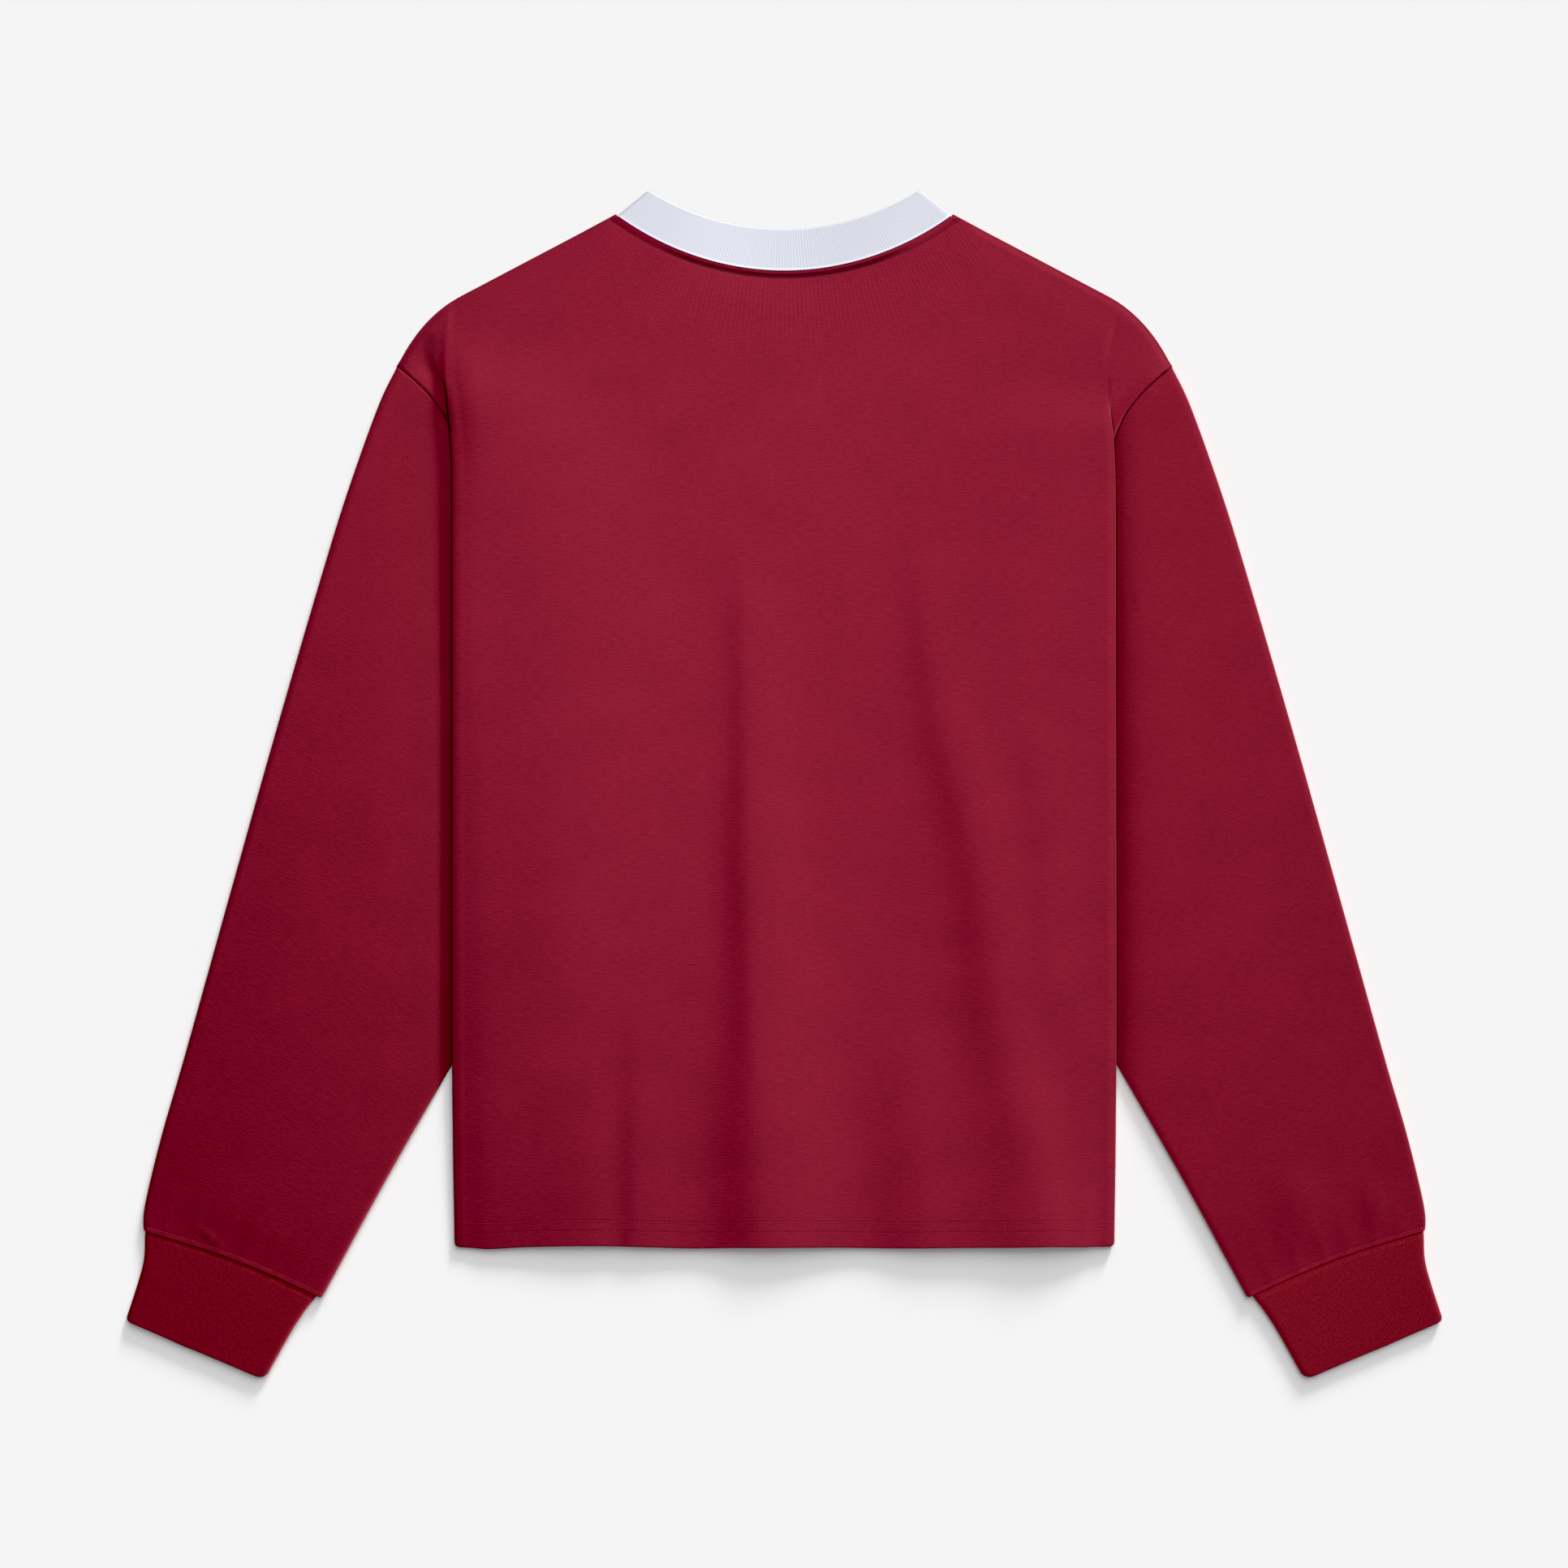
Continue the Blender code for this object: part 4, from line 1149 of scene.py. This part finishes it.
@dataclass
class Sleeve:
    """A sleeve: a flat tube from its armhole to its cuff seam."""

    lay: Lay
    side: SideFold
    wall: float = 0.8 * MM
    floor_height: float = 0.42 * MM
    flat_columns: int = 56
    turn_columns: int = 9
    rows: int = 150
    close_start_rings: int = 8
    close_start: float = 0.02
    end_rows: int = 30
    close_end_rings: int = 14
    close_end: float = 0.35
    end_zone: float = 0.0965
    main_zone: float = 0.9024
    last_ring: float = 0.9995
    first_ring: float = 0.0002
    axis_lean: float = math.radians(16.0)
    edge_pinch: float = 0.5
    armhole_fade: float = 0.7
    # How far the painted shade beside the body's fold reaches on the left sleeve; the right sleeve gets half.
    fold_shade_reach: float = 38 * MM
    under_gap: float = 0.0022
    under_gap_end: float = 0.03
    puff_start: float = 0.05
    puff_ramp: float = 0.2
    puff_end: float = 0.06
    end_rings: tuple[float, float, float] = (0.0009, 0.0001, 0.0)
    end_corner: float = 2.2 * MM
    gather_height: float = 0.16 * MM
    gather_reach: float = 0.10
    gathers: tuple[tuple[float, float], ...] = (
        (0.13, 0.030), (0.27, 0.020), (0.42, 0.034), (0.55, 0.022), (0.69, 0.030), (0.84, 0.026))

    def plan(self, down: Array, over: Array) -> Array:
        """Places on the flat sleeve in plan: its four edges blended.

        A place is on the straight line between the two sleeve edges, plus the armhole's departure from its
        chord, faded out down the sleeve, plus the bow of the cuff seam, faded in.

        Args:
            down: 0 at the armhole to 1 at the cuff seam.
            over: 0 at the outer edge to 1 at the inner edge.

        Returns:
            A grid of (distance from the centre line, y).
        """
        cut = self.lay.cut
        outer, inner = along(cut.sleeve_outer, down), along(cut.sleeve_inner, down)
        over = over[..., None]
        straight = outer + (inner - outer) * over
        head, under = np.array(cut.sleeve_head), np.array(cut.underarm)
        armhole = along(cut.armhole, over[..., 0]) - (head + (under - head) * over)
        along_end = cut.sleeve_inner[-1] - cut.sleeve_outer[-1]
        normal = np.array([along_end[1], -along_end[0]]) / np.linalg.norm(along_end)
        bow = cut.cuff_seam_bow * np.sin(np.pi * over) * normal
        fade = (1 - smooth(down / self.armhole_fade))[..., None]
        return straight + armhole * fade + bow * (down**4)[..., None]

    def surface(self) -> Surface:
        """The tube: rings of an upper layer, a lower layer on the floor, and a half turn at each edge.

        Returns:
            The surface, with the maps cloth, armhole, cuff and fold.
        """
        lay, side, cut = self.lay, self.side, self.lay.cut
        first = denser_near_start(self.rows - self.end_rows + 1, self.close_start_rings, self.close_start)
        last = denser_near_start(self.end_rows, self.close_end_rings, self.close_end)[::-1]
        down = np.concatenate([first * self.main_zone + self.first_ring,
                               self.last_ring - self.end_zone * last[1:-1],
                               self.last_ring - np.array(self.end_rings)])[:, None]
        edge = np.array([[0.0, 1.0]])
        ends = self.plan(np.repeat(down, 2, axis=1), np.repeat(edge, len(down), axis=0))
        width = np.linalg.norm(ends[:, 1] - ends[:, 0], axis=1)[:, None]
        inner_x, inner_y = ends[:, 1, 0][:, None], ends[:, 1, 1][:, None]
        loose = smooth((inner_x - lay.fold_across(side, inner_y) + lay.open_start) / lay.ridge_ramp)
        base = lay.second_layer - lay.floor_layer
        outer_roll, inner_roll = (base + lay.open_loft) / 2, (base + lay.open_loft * loose) / 2
        angle = np.linspace(-np.pi / 2, np.pi / 2, self.turn_columns)[None]
        corner = self.wall / 2 + rounded_corner((1 - down) * lengths(cut.sleeve_outer)[-1], self.end_corner)
        start = (corner + self.edge_pinch * outer_roll * (1 - np.cos(angle))) / width
        end = 1 - (corner + inner_roll * (1 - np.cos(angle[:, ::-1]))) / width
        flat = np.linspace(0.0, 1.0, self.flat_columns)[None, 1:-1]
        middle = start[:, -1:] + (end[:, :1] - start[:, -1:]) * flat
        over = np.concatenate([start, middle, end, middle[:, ::-1]], axis=1)
        lift = np.concatenate([np.broadcast_to((1 + np.sin(angle)) / 2, start.shape), np.ones_like(middle),
                               np.broadcast_to((1 + np.sin(angle[:, ::-1])) / 2, end.shape),
                               np.zeros_like(middle)], axis=1)
        under_start = self.under_gap * (1 - lift) * (1 - smooth(down / self.under_gap_end))
        down_grid = np.broadcast_to(down, over.shape) + under_start
        plan = self.plan(down_grid, over)
        across, y = plan[..., 0], plan[..., 1]
        open_share = lay.open_share(across, side, y)
        grown = smooth((down_grid - self.puff_start) / self.puff_ramp)
        puff = lay.sleeve_bulge * np.sin(np.pi * over) * grown
        puff = puff * open_share * smooth((1 - down_grid) / self.puff_end)
        upper = lay.second_height(across, side, y) + puff
        fade = smooth(1 - (1 - down_grid) / self.gather_reach) * np.sin(np.pi * over) ** 0.5
        gathers = sum(bell((over - at) / half) for at, half in self.gathers)
        upper = upper + self.gather_height * gathers * fade * open_share
        upper = upper + sum(crease.rise(plan) for crease in CREASES[side.hand])
        low = self.floor_height
        points = np.concatenate([plan, (low + (upper - low) * lift)[..., None]], axis=2)
        armhole = seam_map(plan, cut.armhole)
        cuff_line = self.plan(np.ones((1, 90)), np.linspace(0.0, 1.0, 90)[None])[0]
        cuff = seam_map(plan, cuff_line)
        lean, level = math.sin(self.axis_lean), math.cos(self.axis_lean)
        cloth = np.stack([across * level + y * lean, across * lean - y * level], axis=-1)
        fold = np.stack([y, across - lay.fold_across(side, y)], axis=-1)
        maps = {"cloth": cloth, "armhole": armhole, "cuff": cuff, "fold": fold}
        return Surface(points, maps, ring=True).on_side(side.hand)

    def build(self) -> bpy.types.Object:
        """Makes the piece."""
        name = self.side.hand.name.lower()
        reach = self.fold_shade_reach if self.side.hand is Hand.LEFT else self.fold_shade_reach / 2
        lines = (
            SeamOrPaintedLightLine("armhole", 0.0, 0.35 * MM, 0.6 * MM, dark=0.40, height=-0.12 * MM),
            SeamOrPaintedLightLine("cuff", 3.2 * MM, 0.35 * MM, 0.35 * MM, dark=0.40, height=-0.10 * MM, pitch=1.65 * MM),
            # A painted highlight on the raised band of the sleeve above the cuff seam, beside its bump.
            SeamOrPaintedLightLine("cuff", 1.6 * MM, 1.2 * MM, 0.6 * MM, dark=-0.16, height=0.12 * MM),
            SeamOrPaintedLightLine("cuff", 0.0, 0.1 * MM, 0.4 * MM, dark=0.15, height=0.0),
            # Painted shade on the sleeve beside the body's fold edge, wider on the left sleeve.
            SeamOrPaintedLightLine("fold", 0.0, 0.5 * MM, reach, dark=0.20, height=0.0),
            SeamOrPaintedLightLine("fold", 0.0, 1.0 * MM, 9.0 * MM, dark=0.12, height=0.0),
        )
        finish = Jersey(f"red jersey, {name} sleeve", lines, colour=(0.277, 0.0159, 0.0365)).material()
        made = self.surface().piece(f"sleeve_{name}", self.wall, Slot.RED_JERSEY, finish)
        return made


@dataclass
class Cuff:
    """A cuff: a closed band of rib, doubled at its opening."""

    lay: Lay
    side: SideFold
    wall: float = 0.85 * MM
    apart: float = 0.90 * MM
    under_sleeve: float = 0.7 * MM
    under_reach: float = 2.4 * MM
    under_drop: float = 0.06
    outer_corner: tuple[float, float] = (0.4057, -0.3309)
    inner_corner: tuple[float, float] = (0.3203, -0.3674)
    outer_radius: float = 2.6 * MM
    inner_radius: float = 5.0 * MM
    flat_columns: int = 44
    turn_columns: int = 9
    seam_rows: tuple[float, ...] = (0.0, 0.04 * MM, 0.15 * MM, 0.5 * MM)
    middle_rows: int = 26
    middle_from: float = 1.5 * MM
    middle_to: float = 8 * MM
    end_rows: tuple[float, ...] = (
        6.5 * MM, 5.2 * MM, 4.0 * MM, 3.0 * MM, 2.2 * MM, 1.5 * MM, 0.9 * MM, 0.45 * MM, 0.15 * MM, 0.0)
    upper_share: float = 0.7

    def surface(self) -> Surface:
        """The band: rings from the seam to the opening, drawn in round the corners, then doubled.

        The first rings lie just inside the sleeve's end, so that no gap shows at the seam.

        Returns:
            The surface, with the map rib and the map cuff for the seam.
        """
        lay, cut = self.lay, self.lay.cut
        outer_line = curve((*cut.cuff_outer_points[:-1], self.outer_corner))
        inner_line = curve((*cut.cuff_inner_points[:-1], self.inner_corner))
        length = (lengths(outer_line)[-1] + lengths(inner_line)[-1]) / 2
        last = 1 - (self.apart + self.wall) / 2 / length
        middle = np.linspace(self.middle_from / length, last - self.middle_to / length, self.middle_rows)
        down = np.concatenate([np.array(self.seam_rows) / length, middle,
                               last - np.array(self.end_rows) / length])[:, None]
        depth = (last - down) * length
        outer, inner = along(outer_line, down[:, 0]), along(inner_line, down[:, 0])
        direction = (inner - outer) / np.linalg.norm(inner - outer, axis=1, keepdims=True)
        outer = outer + direction * rounded_corner(depth, self.outer_radius)
        inner = inner - direction * rounded_corner(depth, self.inner_radius)
        width = np.linalg.norm(inner - outer, axis=1, keepdims=True)
        half = lay.rib_wall / 2 - self.apart / 2
        radius = lay.cuff_loft / 2 + self.apart / 2
        angle = np.linspace(-np.pi / 2, np.pi / 2, self.turn_columns)[None]
        turn = half + radius * (1 - np.cos(angle))
        ones = np.ones_like(width)
        reach = half + radius
        flat = reach + (width - 2 * reach) * np.linspace(0.0, 1.0, self.flat_columns)[None, 1:-1]
        over = np.concatenate([turn * ones, flat, width - turn[:, ::-1], flat[:, ::-1]], axis=1)
        rise = np.concatenate([(1 + np.sin(angle)) * ones, 2 * np.ones_like(flat),
                               (1 + np.sin(angle[:, ::-1])) * ones, np.zeros_like(flat)], axis=1) * radius
        normal = np.column_stack([direction[:, 1], -direction[:, 0]])
        bow = cut.cuff_seam_bow * (1 - down) * np.sin(np.pi * np.clip(over / width, 0.0, 1.0))
        under = 1 - smooth(down * length / self.under_reach)
        onward = outer[-1] + inner[-1] - outer[0] - inner[0]
        onward = onward / np.linalg.norm(onward)
        rise = rise * (1 - self.under_drop * under)
        plan = outer[:, None] + direction[:, None] * over[..., None] + normal[:, None] * bow[..., None]
        plan = plan - onward * self.under_sleeve * under[..., None]
        points = np.concatenate([plan, (half + rise)[..., None]], axis=2)
        upper = rise > radius * self.upper_share
        stretched = over / width * width.mean()
        run = np.where(upper, stretched, 2 * width.mean() - stretched)
        rib = np.stack([run, np.broadcast_to(down * length, run.shape)], axis=-1)
        maps = {"rib": rib, "cuff": rib.copy()}
        band = Surface(points, maps, ring=True).on_side(self.side.hand)
        return band.turned_over(self.apart, len(points))

    def build(self) -> bpy.types.Object:
        """Makes the piece."""
        name = self.side.hand.name.lower()
        lines = (
            SeamOrPaintedLightLine("cuff", 3.0 * MM, 0.5 * MM, 0.5 * MM, dark=-0.45, height=0.05 * MM, pitch=1.65 * MM,
                     dash=0.35),
            SeamOrPaintedLightLine("cuff", 0.3 * MM, 0.2 * MM, 0.5 * MM, dark=0.12, height=-0.04 * MM),
        )
        finish = Rib(f"red rib, {name} cuff", (0.282, 0.0166, 0.0310), lines, pitch=1.6 * MM, wale_tone=0.03,
                     wale_height=0.02 * MM, grain=0.46).material()
        made = self.surface().piece(f"cuff_{name}", self.wall, Slot.RED_RIB, finish)
        return made


@dataclass
class NeckRib:
    """The neck rib: a flat ring, doubled at its free edge, whose back half lies over its front half."""

    lay: Lay
    wall: float = 0.85 * MM
    apart: float = 0.90 * MM
    half_columns: int = 130
    turn_columns: int = 7
    rows: int = 22
    depth: float = 26 * MM
    seam_bands: tuple[float, ...] = (0.0, 0.0015, 0.006)
    first_band: float = 0.02
    last_band: float = 0.08
    edge_bands: tuple[float, ...] = (0.06, 0.04, 0.022, 0.008, 0.0)
    seam_gap: float = 0.05 * MM
    tip_radius: float = 1.6 * MM

    def row(self, band: float) -> Array:
        """One row of the ring: the back from right to left, a turn, the front, and the other turn.

        Args:
            band: 0 at the seam to 1 at the free edge.

        Returns:
            Points of the row.
        """
        lay, cut = self.lay, self.lay.cut
        gap = self.seam_gap * (1 - band)
        out = self.apart / 2
        full = cut.neck_point[0] + (cut.collar_tip[0] - cut.neck_point[0]) * band
        half = full - lay.rib_wall / 2 - rounded_corner(np.array((1 - band) * self.depth), self.tip_radius)
        top = cut.neck_point[1] + gap
        end = (full, top + (cut.collar_tip[1] - top) * band)
        back_low = cut.back_neck_y + gap + (cut.back_collar_y - cut.back_neck_y - gap) * band
        front_low = cut.front_neck_y + gap + (cut.front_collar_y - cut.front_neck_y - gap) * band
        back_x = np.linspace(1.0, -1.0, self.half_columns) * (half - lay.collar_roll)
        low = lay.back_rib_low
        back_z = lay.rib_wall / 2 + low + (2 * lay.collar_roll - low) * lay.neck_rise(back_x) + out
        back = np.column_stack([back_x, cut.neckline(back_x, end, back_low), back_z])
        front_x = back_x[::-1]
        front_y = cut.neckline(front_x, end, front_low, cut.front_neck_power)
        front = np.column_stack([front_x, front_y, np.full(len(front_x), lay.rib_wall / 2 - out)])
        angle = np.linspace(0.0, np.pi, self.turn_columns + 2)[1:-1]
        weight = np.linspace(0.0, 1.0, self.turn_columns + 2)[1:-1] ** 2
        turn_x = half - lay.collar_roll + (lay.collar_roll + out) * np.sin(angle)
        turn_z = lay.rib_wall / 2 + lay.collar_roll + (lay.collar_roll + out) * np.cos(angle)
        turn_y = back[0, 1] + (front[-1, 1] - back[0, 1]) * weight
        right = np.column_stack([turn_x, turn_y, turn_z])
        return np.vstack([back, right * (-1, 1, 1), front, right[::-1]])

    def surface(self) -> Surface:
        """The ring's rows from the seam to the free edge, then doubled.

        Returns:
            The surface, with the maps rib and seam.
        """
        last = 1 - (self.apart + self.wall) / 2 / self.depth
        middle = np.linspace(self.first_band, last - self.last_band, self.rows - len(self.edge_bands))
        bands = np.concatenate([self.seam_bands, middle, last - np.array(self.edge_bands)])
        points = np.array([self.row(float(band)) for band in bands])
        run = np.broadcast_to(lengths(points[len(points) // 2]), points.shape[:2])
        depth = np.concatenate([[np.zeros(points.shape[1])],
                                np.cumsum(np.linalg.norm(np.diff(points, axis=0), axis=2), axis=0)])
        rib = np.stack([run, depth], axis=-1)
        maps = {"rib": rib, "seam": rib.copy()}
        return Surface(points, maps, ring=True).turned_over(self.apart, len(points))

    def build(self) -> bpy.types.Object:
        """Makes the piece."""
        lines = (
            # A painted highlight along the rib's edge at the neck seam.
            SeamOrPaintedLightLine("seam", 0.5 * MM, 0.6 * MM, 0.5 * MM, dark=-0.22, height=0.0),
            # Painted shade along the rib's free edge, where it turns under.
            SeamOrPaintedLightLine("seam", 25.2 * MM, 0.3 * MM, 0.5 * MM, dark=0.12, height=0.0),
        )
        finish = Rib("white rib", (0.742, 0.760, 0.850), lines, pitch=1.75 * MM, wale_tone=0.007,
                     wale_height=0.03 * MM, grain=0.012).material()
        made = self.surface().piece("neck_rib", self.wall, Slot.WHITE_RIB, finish)
        return made


# The studio


@dataclass
class Studio:
    """A plain pale floor and backdrop, soft lights, and a camera straight above the shirt.

    The floor and the shirt have lamps of their own, so that the shadow on the floor and the shading of the
    folds can each follow the photograph.
    """

    image_side: int = 1932
    pixel: float = 0.5 * MM
    centre_pixel: tuple[float, float] = (966.5, 965.5)
    sensor: float = 36.0
    lens: float = 100.0
    floor_half: float = 6.0
    floor_colour: float = 0.90
    dome_radius: float = 6.0
    wall_glow: float = 0.9146
    world: float = 0.07
    black: float = 0.017

    def camera(self) -> bpy.types.Object:
        """A camera that looks straight down, as far up as makes the frame as wide as the photo's.

        Returns:
            The camera's object.
        """
        data = bpy.data.cameras.new("Camera above")
        data.sensor_width = self.sensor
        data.lens = self.lens
        made = bpy.data.objects.new("Camera above", data)
        bpy.context.scene.collection.objects.link(made)
        wide = self.image_side * self.pixel
        middle = self.image_side / 2
        x = (middle - self.centre_pixel[0]) * self.pixel
        y = (self.centre_pixel[1] - middle) * self.pixel
        made.location = (x, y, wide * self.lens / self.sensor)
        data.clip_end = 50.0
        bpy.context.scene.camera = made
        return made

    def lamp(self, name: str, kind: str, place: tuple[float, float, float], aim: tuple[float, float, float],
             power: float, only: bpy.types.Collection | None = None, **settings: float) -> bpy.types.Object:
        """A lamp that is aimed at a place.

        Args:
            name: its name.
            kind: AREA or SUN.
            place: where it stands.
            aim: what it points at.
            power: watts of an area lamp, or strength of a sun.
            only: the pieces that it lights, or None for all.
            settings: the lamp's own settings.

        Returns:
            The lamp's object.
        """
        data = bpy.data.lights.new(name, kind)
        data.energy = power
        for key, value in settings.items():
            setattr(data, key, value)
        made = bpy.data.objects.new(name, data)
        bpy.context.scene.collection.objects.link(made)
        made.location = place
        made.rotation_euler = (Vector(aim) - Vector(place)).to_track_quat("-Z", "Y").to_euler()
        if only is not None:
            made.light_linking.receiver_collection = only
        return made

    def floor(self) -> bpy.types.Object:
        """The floor: one large plain square on z = 0."""
        half = self.floor_half
        mesh = bpy.data.meshes.new("Floor")
        corners = [(-half, -half, 0.0), (half, -half, 0.0), (half, half, 0.0), (-half, half, 0.0)]
        mesh.from_pydata(corners, [], [(0, 1, 2, 3)])
        made = bpy.data.objects.new("Floor", mesh)
        bpy.context.scene.collection.objects.link(made)
        paint = bpy.data.materials.new("Pale floor")
        paint.use_nodes = True
        shader = paint.node_tree.nodes["Principled BSDF"]
        shader.inputs["Base Color"].default_value = (*[self.floor_colour] * 3, 1.0)
        shader.inputs["Roughness"].default_value = 1.0
        shader.inputs["Specular IOR Level"].default_value = 0.0
        mesh.materials.append(paint)
        return made

    def point(self, name: str, place: tuple[float, float, float], share: float, radius: float,
              only: bpy.types.Collection) -> bpy.types.Object:
        """A round lamp over the shirt.

        A lamp of P watts at height h lights the place below it by P / (4 pi h^2), and the full light is pi.

        Args:
            name: its name.
            place: where it stands.
            share: its share of the full light on the place below it.
            radius: its radius.
            only: the pieces that it lights.

        Returns:
            The lamp's object.
        """
        power = share * 4 * math.pi**2 * place[2]**2
        made = self.lamp(name, "POINT", place, (*place[:2], 0.0), power, only, shadow_soft_size=radius)
        made.visible_camera = False
        return made

    def sun(self, name: str, turn: float, height: float, share: float, angle: float,
            only: bpy.types.Collection) -> None:
        """A distant lamp.

        Args:
            name: its name.
            turn: where it stands, in degrees from the top of the picture towards its right.
            height: its height above the horizon, in degrees.
            share: its share of the full light on a level place.
            angle: the width of its disc, in degrees.
            only: the pieces that it lights.
        """
        level, up = math.cos(math.radians(height)), math.sin(math.radians(height))
        way = (level * math.sin(math.radians(turn)), level * math.cos(math.radians(turn)), up)
        self.lamp(name, "SUN", way, (0.0, 0.0, 0.0), share * math.pi / up, only, angle=math.radians(angle))

    def dome(self) -> bpy.types.Object:
        """The far wall of the room: a glowing half sphere that only the camera sees.

        Rings at height R sin(a) with radius R cos(a), for a from just below the floor to the top.

        Returns:
            The dome's object.
        """
        rise = np.linspace(-0.02, math.pi / 2 - 0.01, 24)[:, None]
        turn = np.linspace(0.0, 2 * math.pi, 96, endpoint=False)[None]
        points = self.dome_radius * np.stack([np.cos(rise) * np.cos(turn), np.cos(rise) * np.sin(turn),
                                              np.sin(rise) * np.ones_like(turn)], axis=-1)
        maps = {"room": np.zeros((*points.shape[:2], 2))}
        made = bpy.data.objects.new("Dome", Surface(points[:, ::-1], maps, ring=True).mesh("Dome"))
        bpy.context.scene.collection.objects.link(made)
        glow = bpy.data.materials.new("Pale wall")
        glow.use_nodes = True
        shader = glow.node_tree.nodes["Principled BSDF"]
        shader.inputs["Base Color"].default_value = (0.0, 0.0, 0.0, 1.0)
        shader.inputs["Specular IOR Level"].default_value = 0.0
        shader.inputs["Emission Color"].default_value = (1.0, 1.0, 1.0, 1.0)
        shader.inputs["Emission Strength"].default_value = self.wall_glow
        made.data.materials.append(glow)
        for ray in ("diffuse", "glossy", "transmission", "volume_scatter", "shadow"):
            setattr(made, f"visible_{ray}", False)
        return made

    def build(self, shirt: list[bpy.types.Object]) -> None:
        """Sets up the camera, floor, wall, lights and world.

        Args:
            shirt: the shirt's pieces, the neck rib last.
        """
        self.camera()
        floor = self.floor()
        self.dome()
        on_floor = bpy.data.collections.new("Lit by the floor lamps")
        on_floor.objects.link(floor)
        on_shirt = bpy.data.collections.new("Lit by the shirt lamps")
        for piece in shirt:
            on_shirt.objects.link(piece)
        neck_rib = shirt[-1]
        neck_rib.visible_diffuse = False  # it throws no glow on what is round it, as in the photograph
        self.sun("Floor low", turn=20.0, height=14.5, share=0.27, angle=12.0, only=on_floor)
        self.sun("Floor wide", turn=20.0, height=38.0, share=0.38, angle=60.0, only=on_floor)
        self.sun("Floor top", turn=20.0, height=85.0, share=0.294, angle=60.0, only=on_floor)
        self.sun("Shirt right", turn=60.0, height=10.5, share=0.23, angle=10.0, only=on_shirt)
        self.sun("Shirt left", turn=-50.0, height=25.0, share=0.03, angle=20.0, only=on_shirt)
        self.point("Shirt key, low", (0.117, -0.284, 0.40), share=0.25, radius=0.10, only=on_shirt)
        self.point("Shirt key, high", (0.0, 0.265, 0.61), share=0.64, radius=0.10, only=on_shirt)
        self.room()

    def room(self) -> None:
        """The soft light from all round, and the tones of the picture."""
        world = bpy.data.worlds.new("Soft room")
        world.use_nodes = True
        background = world.node_tree.nodes["Background"]
        background.inputs["Color"].default_value = (1.0, 1.0, 1.0, 1.0)
        background.inputs["Strength"].default_value = self.world
        bpy.context.scene.world = world
        view = bpy.context.scene.view_settings
        view.view_transform = "Standard"
        view.look = "None"
        view.use_curve_mapping = True
        view.curve_mapping.black_level = (self.black,) * 3
        view.curve_mapping.update()


def main() -> None:
    """Builds the shirt's pieces in order, then the studio."""
    logging.basicConfig(level=logging.INFO)
    lay = Lay()
    back = BackPanel(lay)
    shirt = [back.build(), FrontPanel(lay).build(back.finish("front"))]
    for side in (LEFT_FOLD, RIGHT_FOLD):
        shirt += [Sleeve(lay, side).build(), Cuff(lay, side).build()]
    shirt.append(NeckRib(lay).build())
    Studio().build(shirt)
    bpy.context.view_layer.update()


if __name__ == "__main__":
    main()
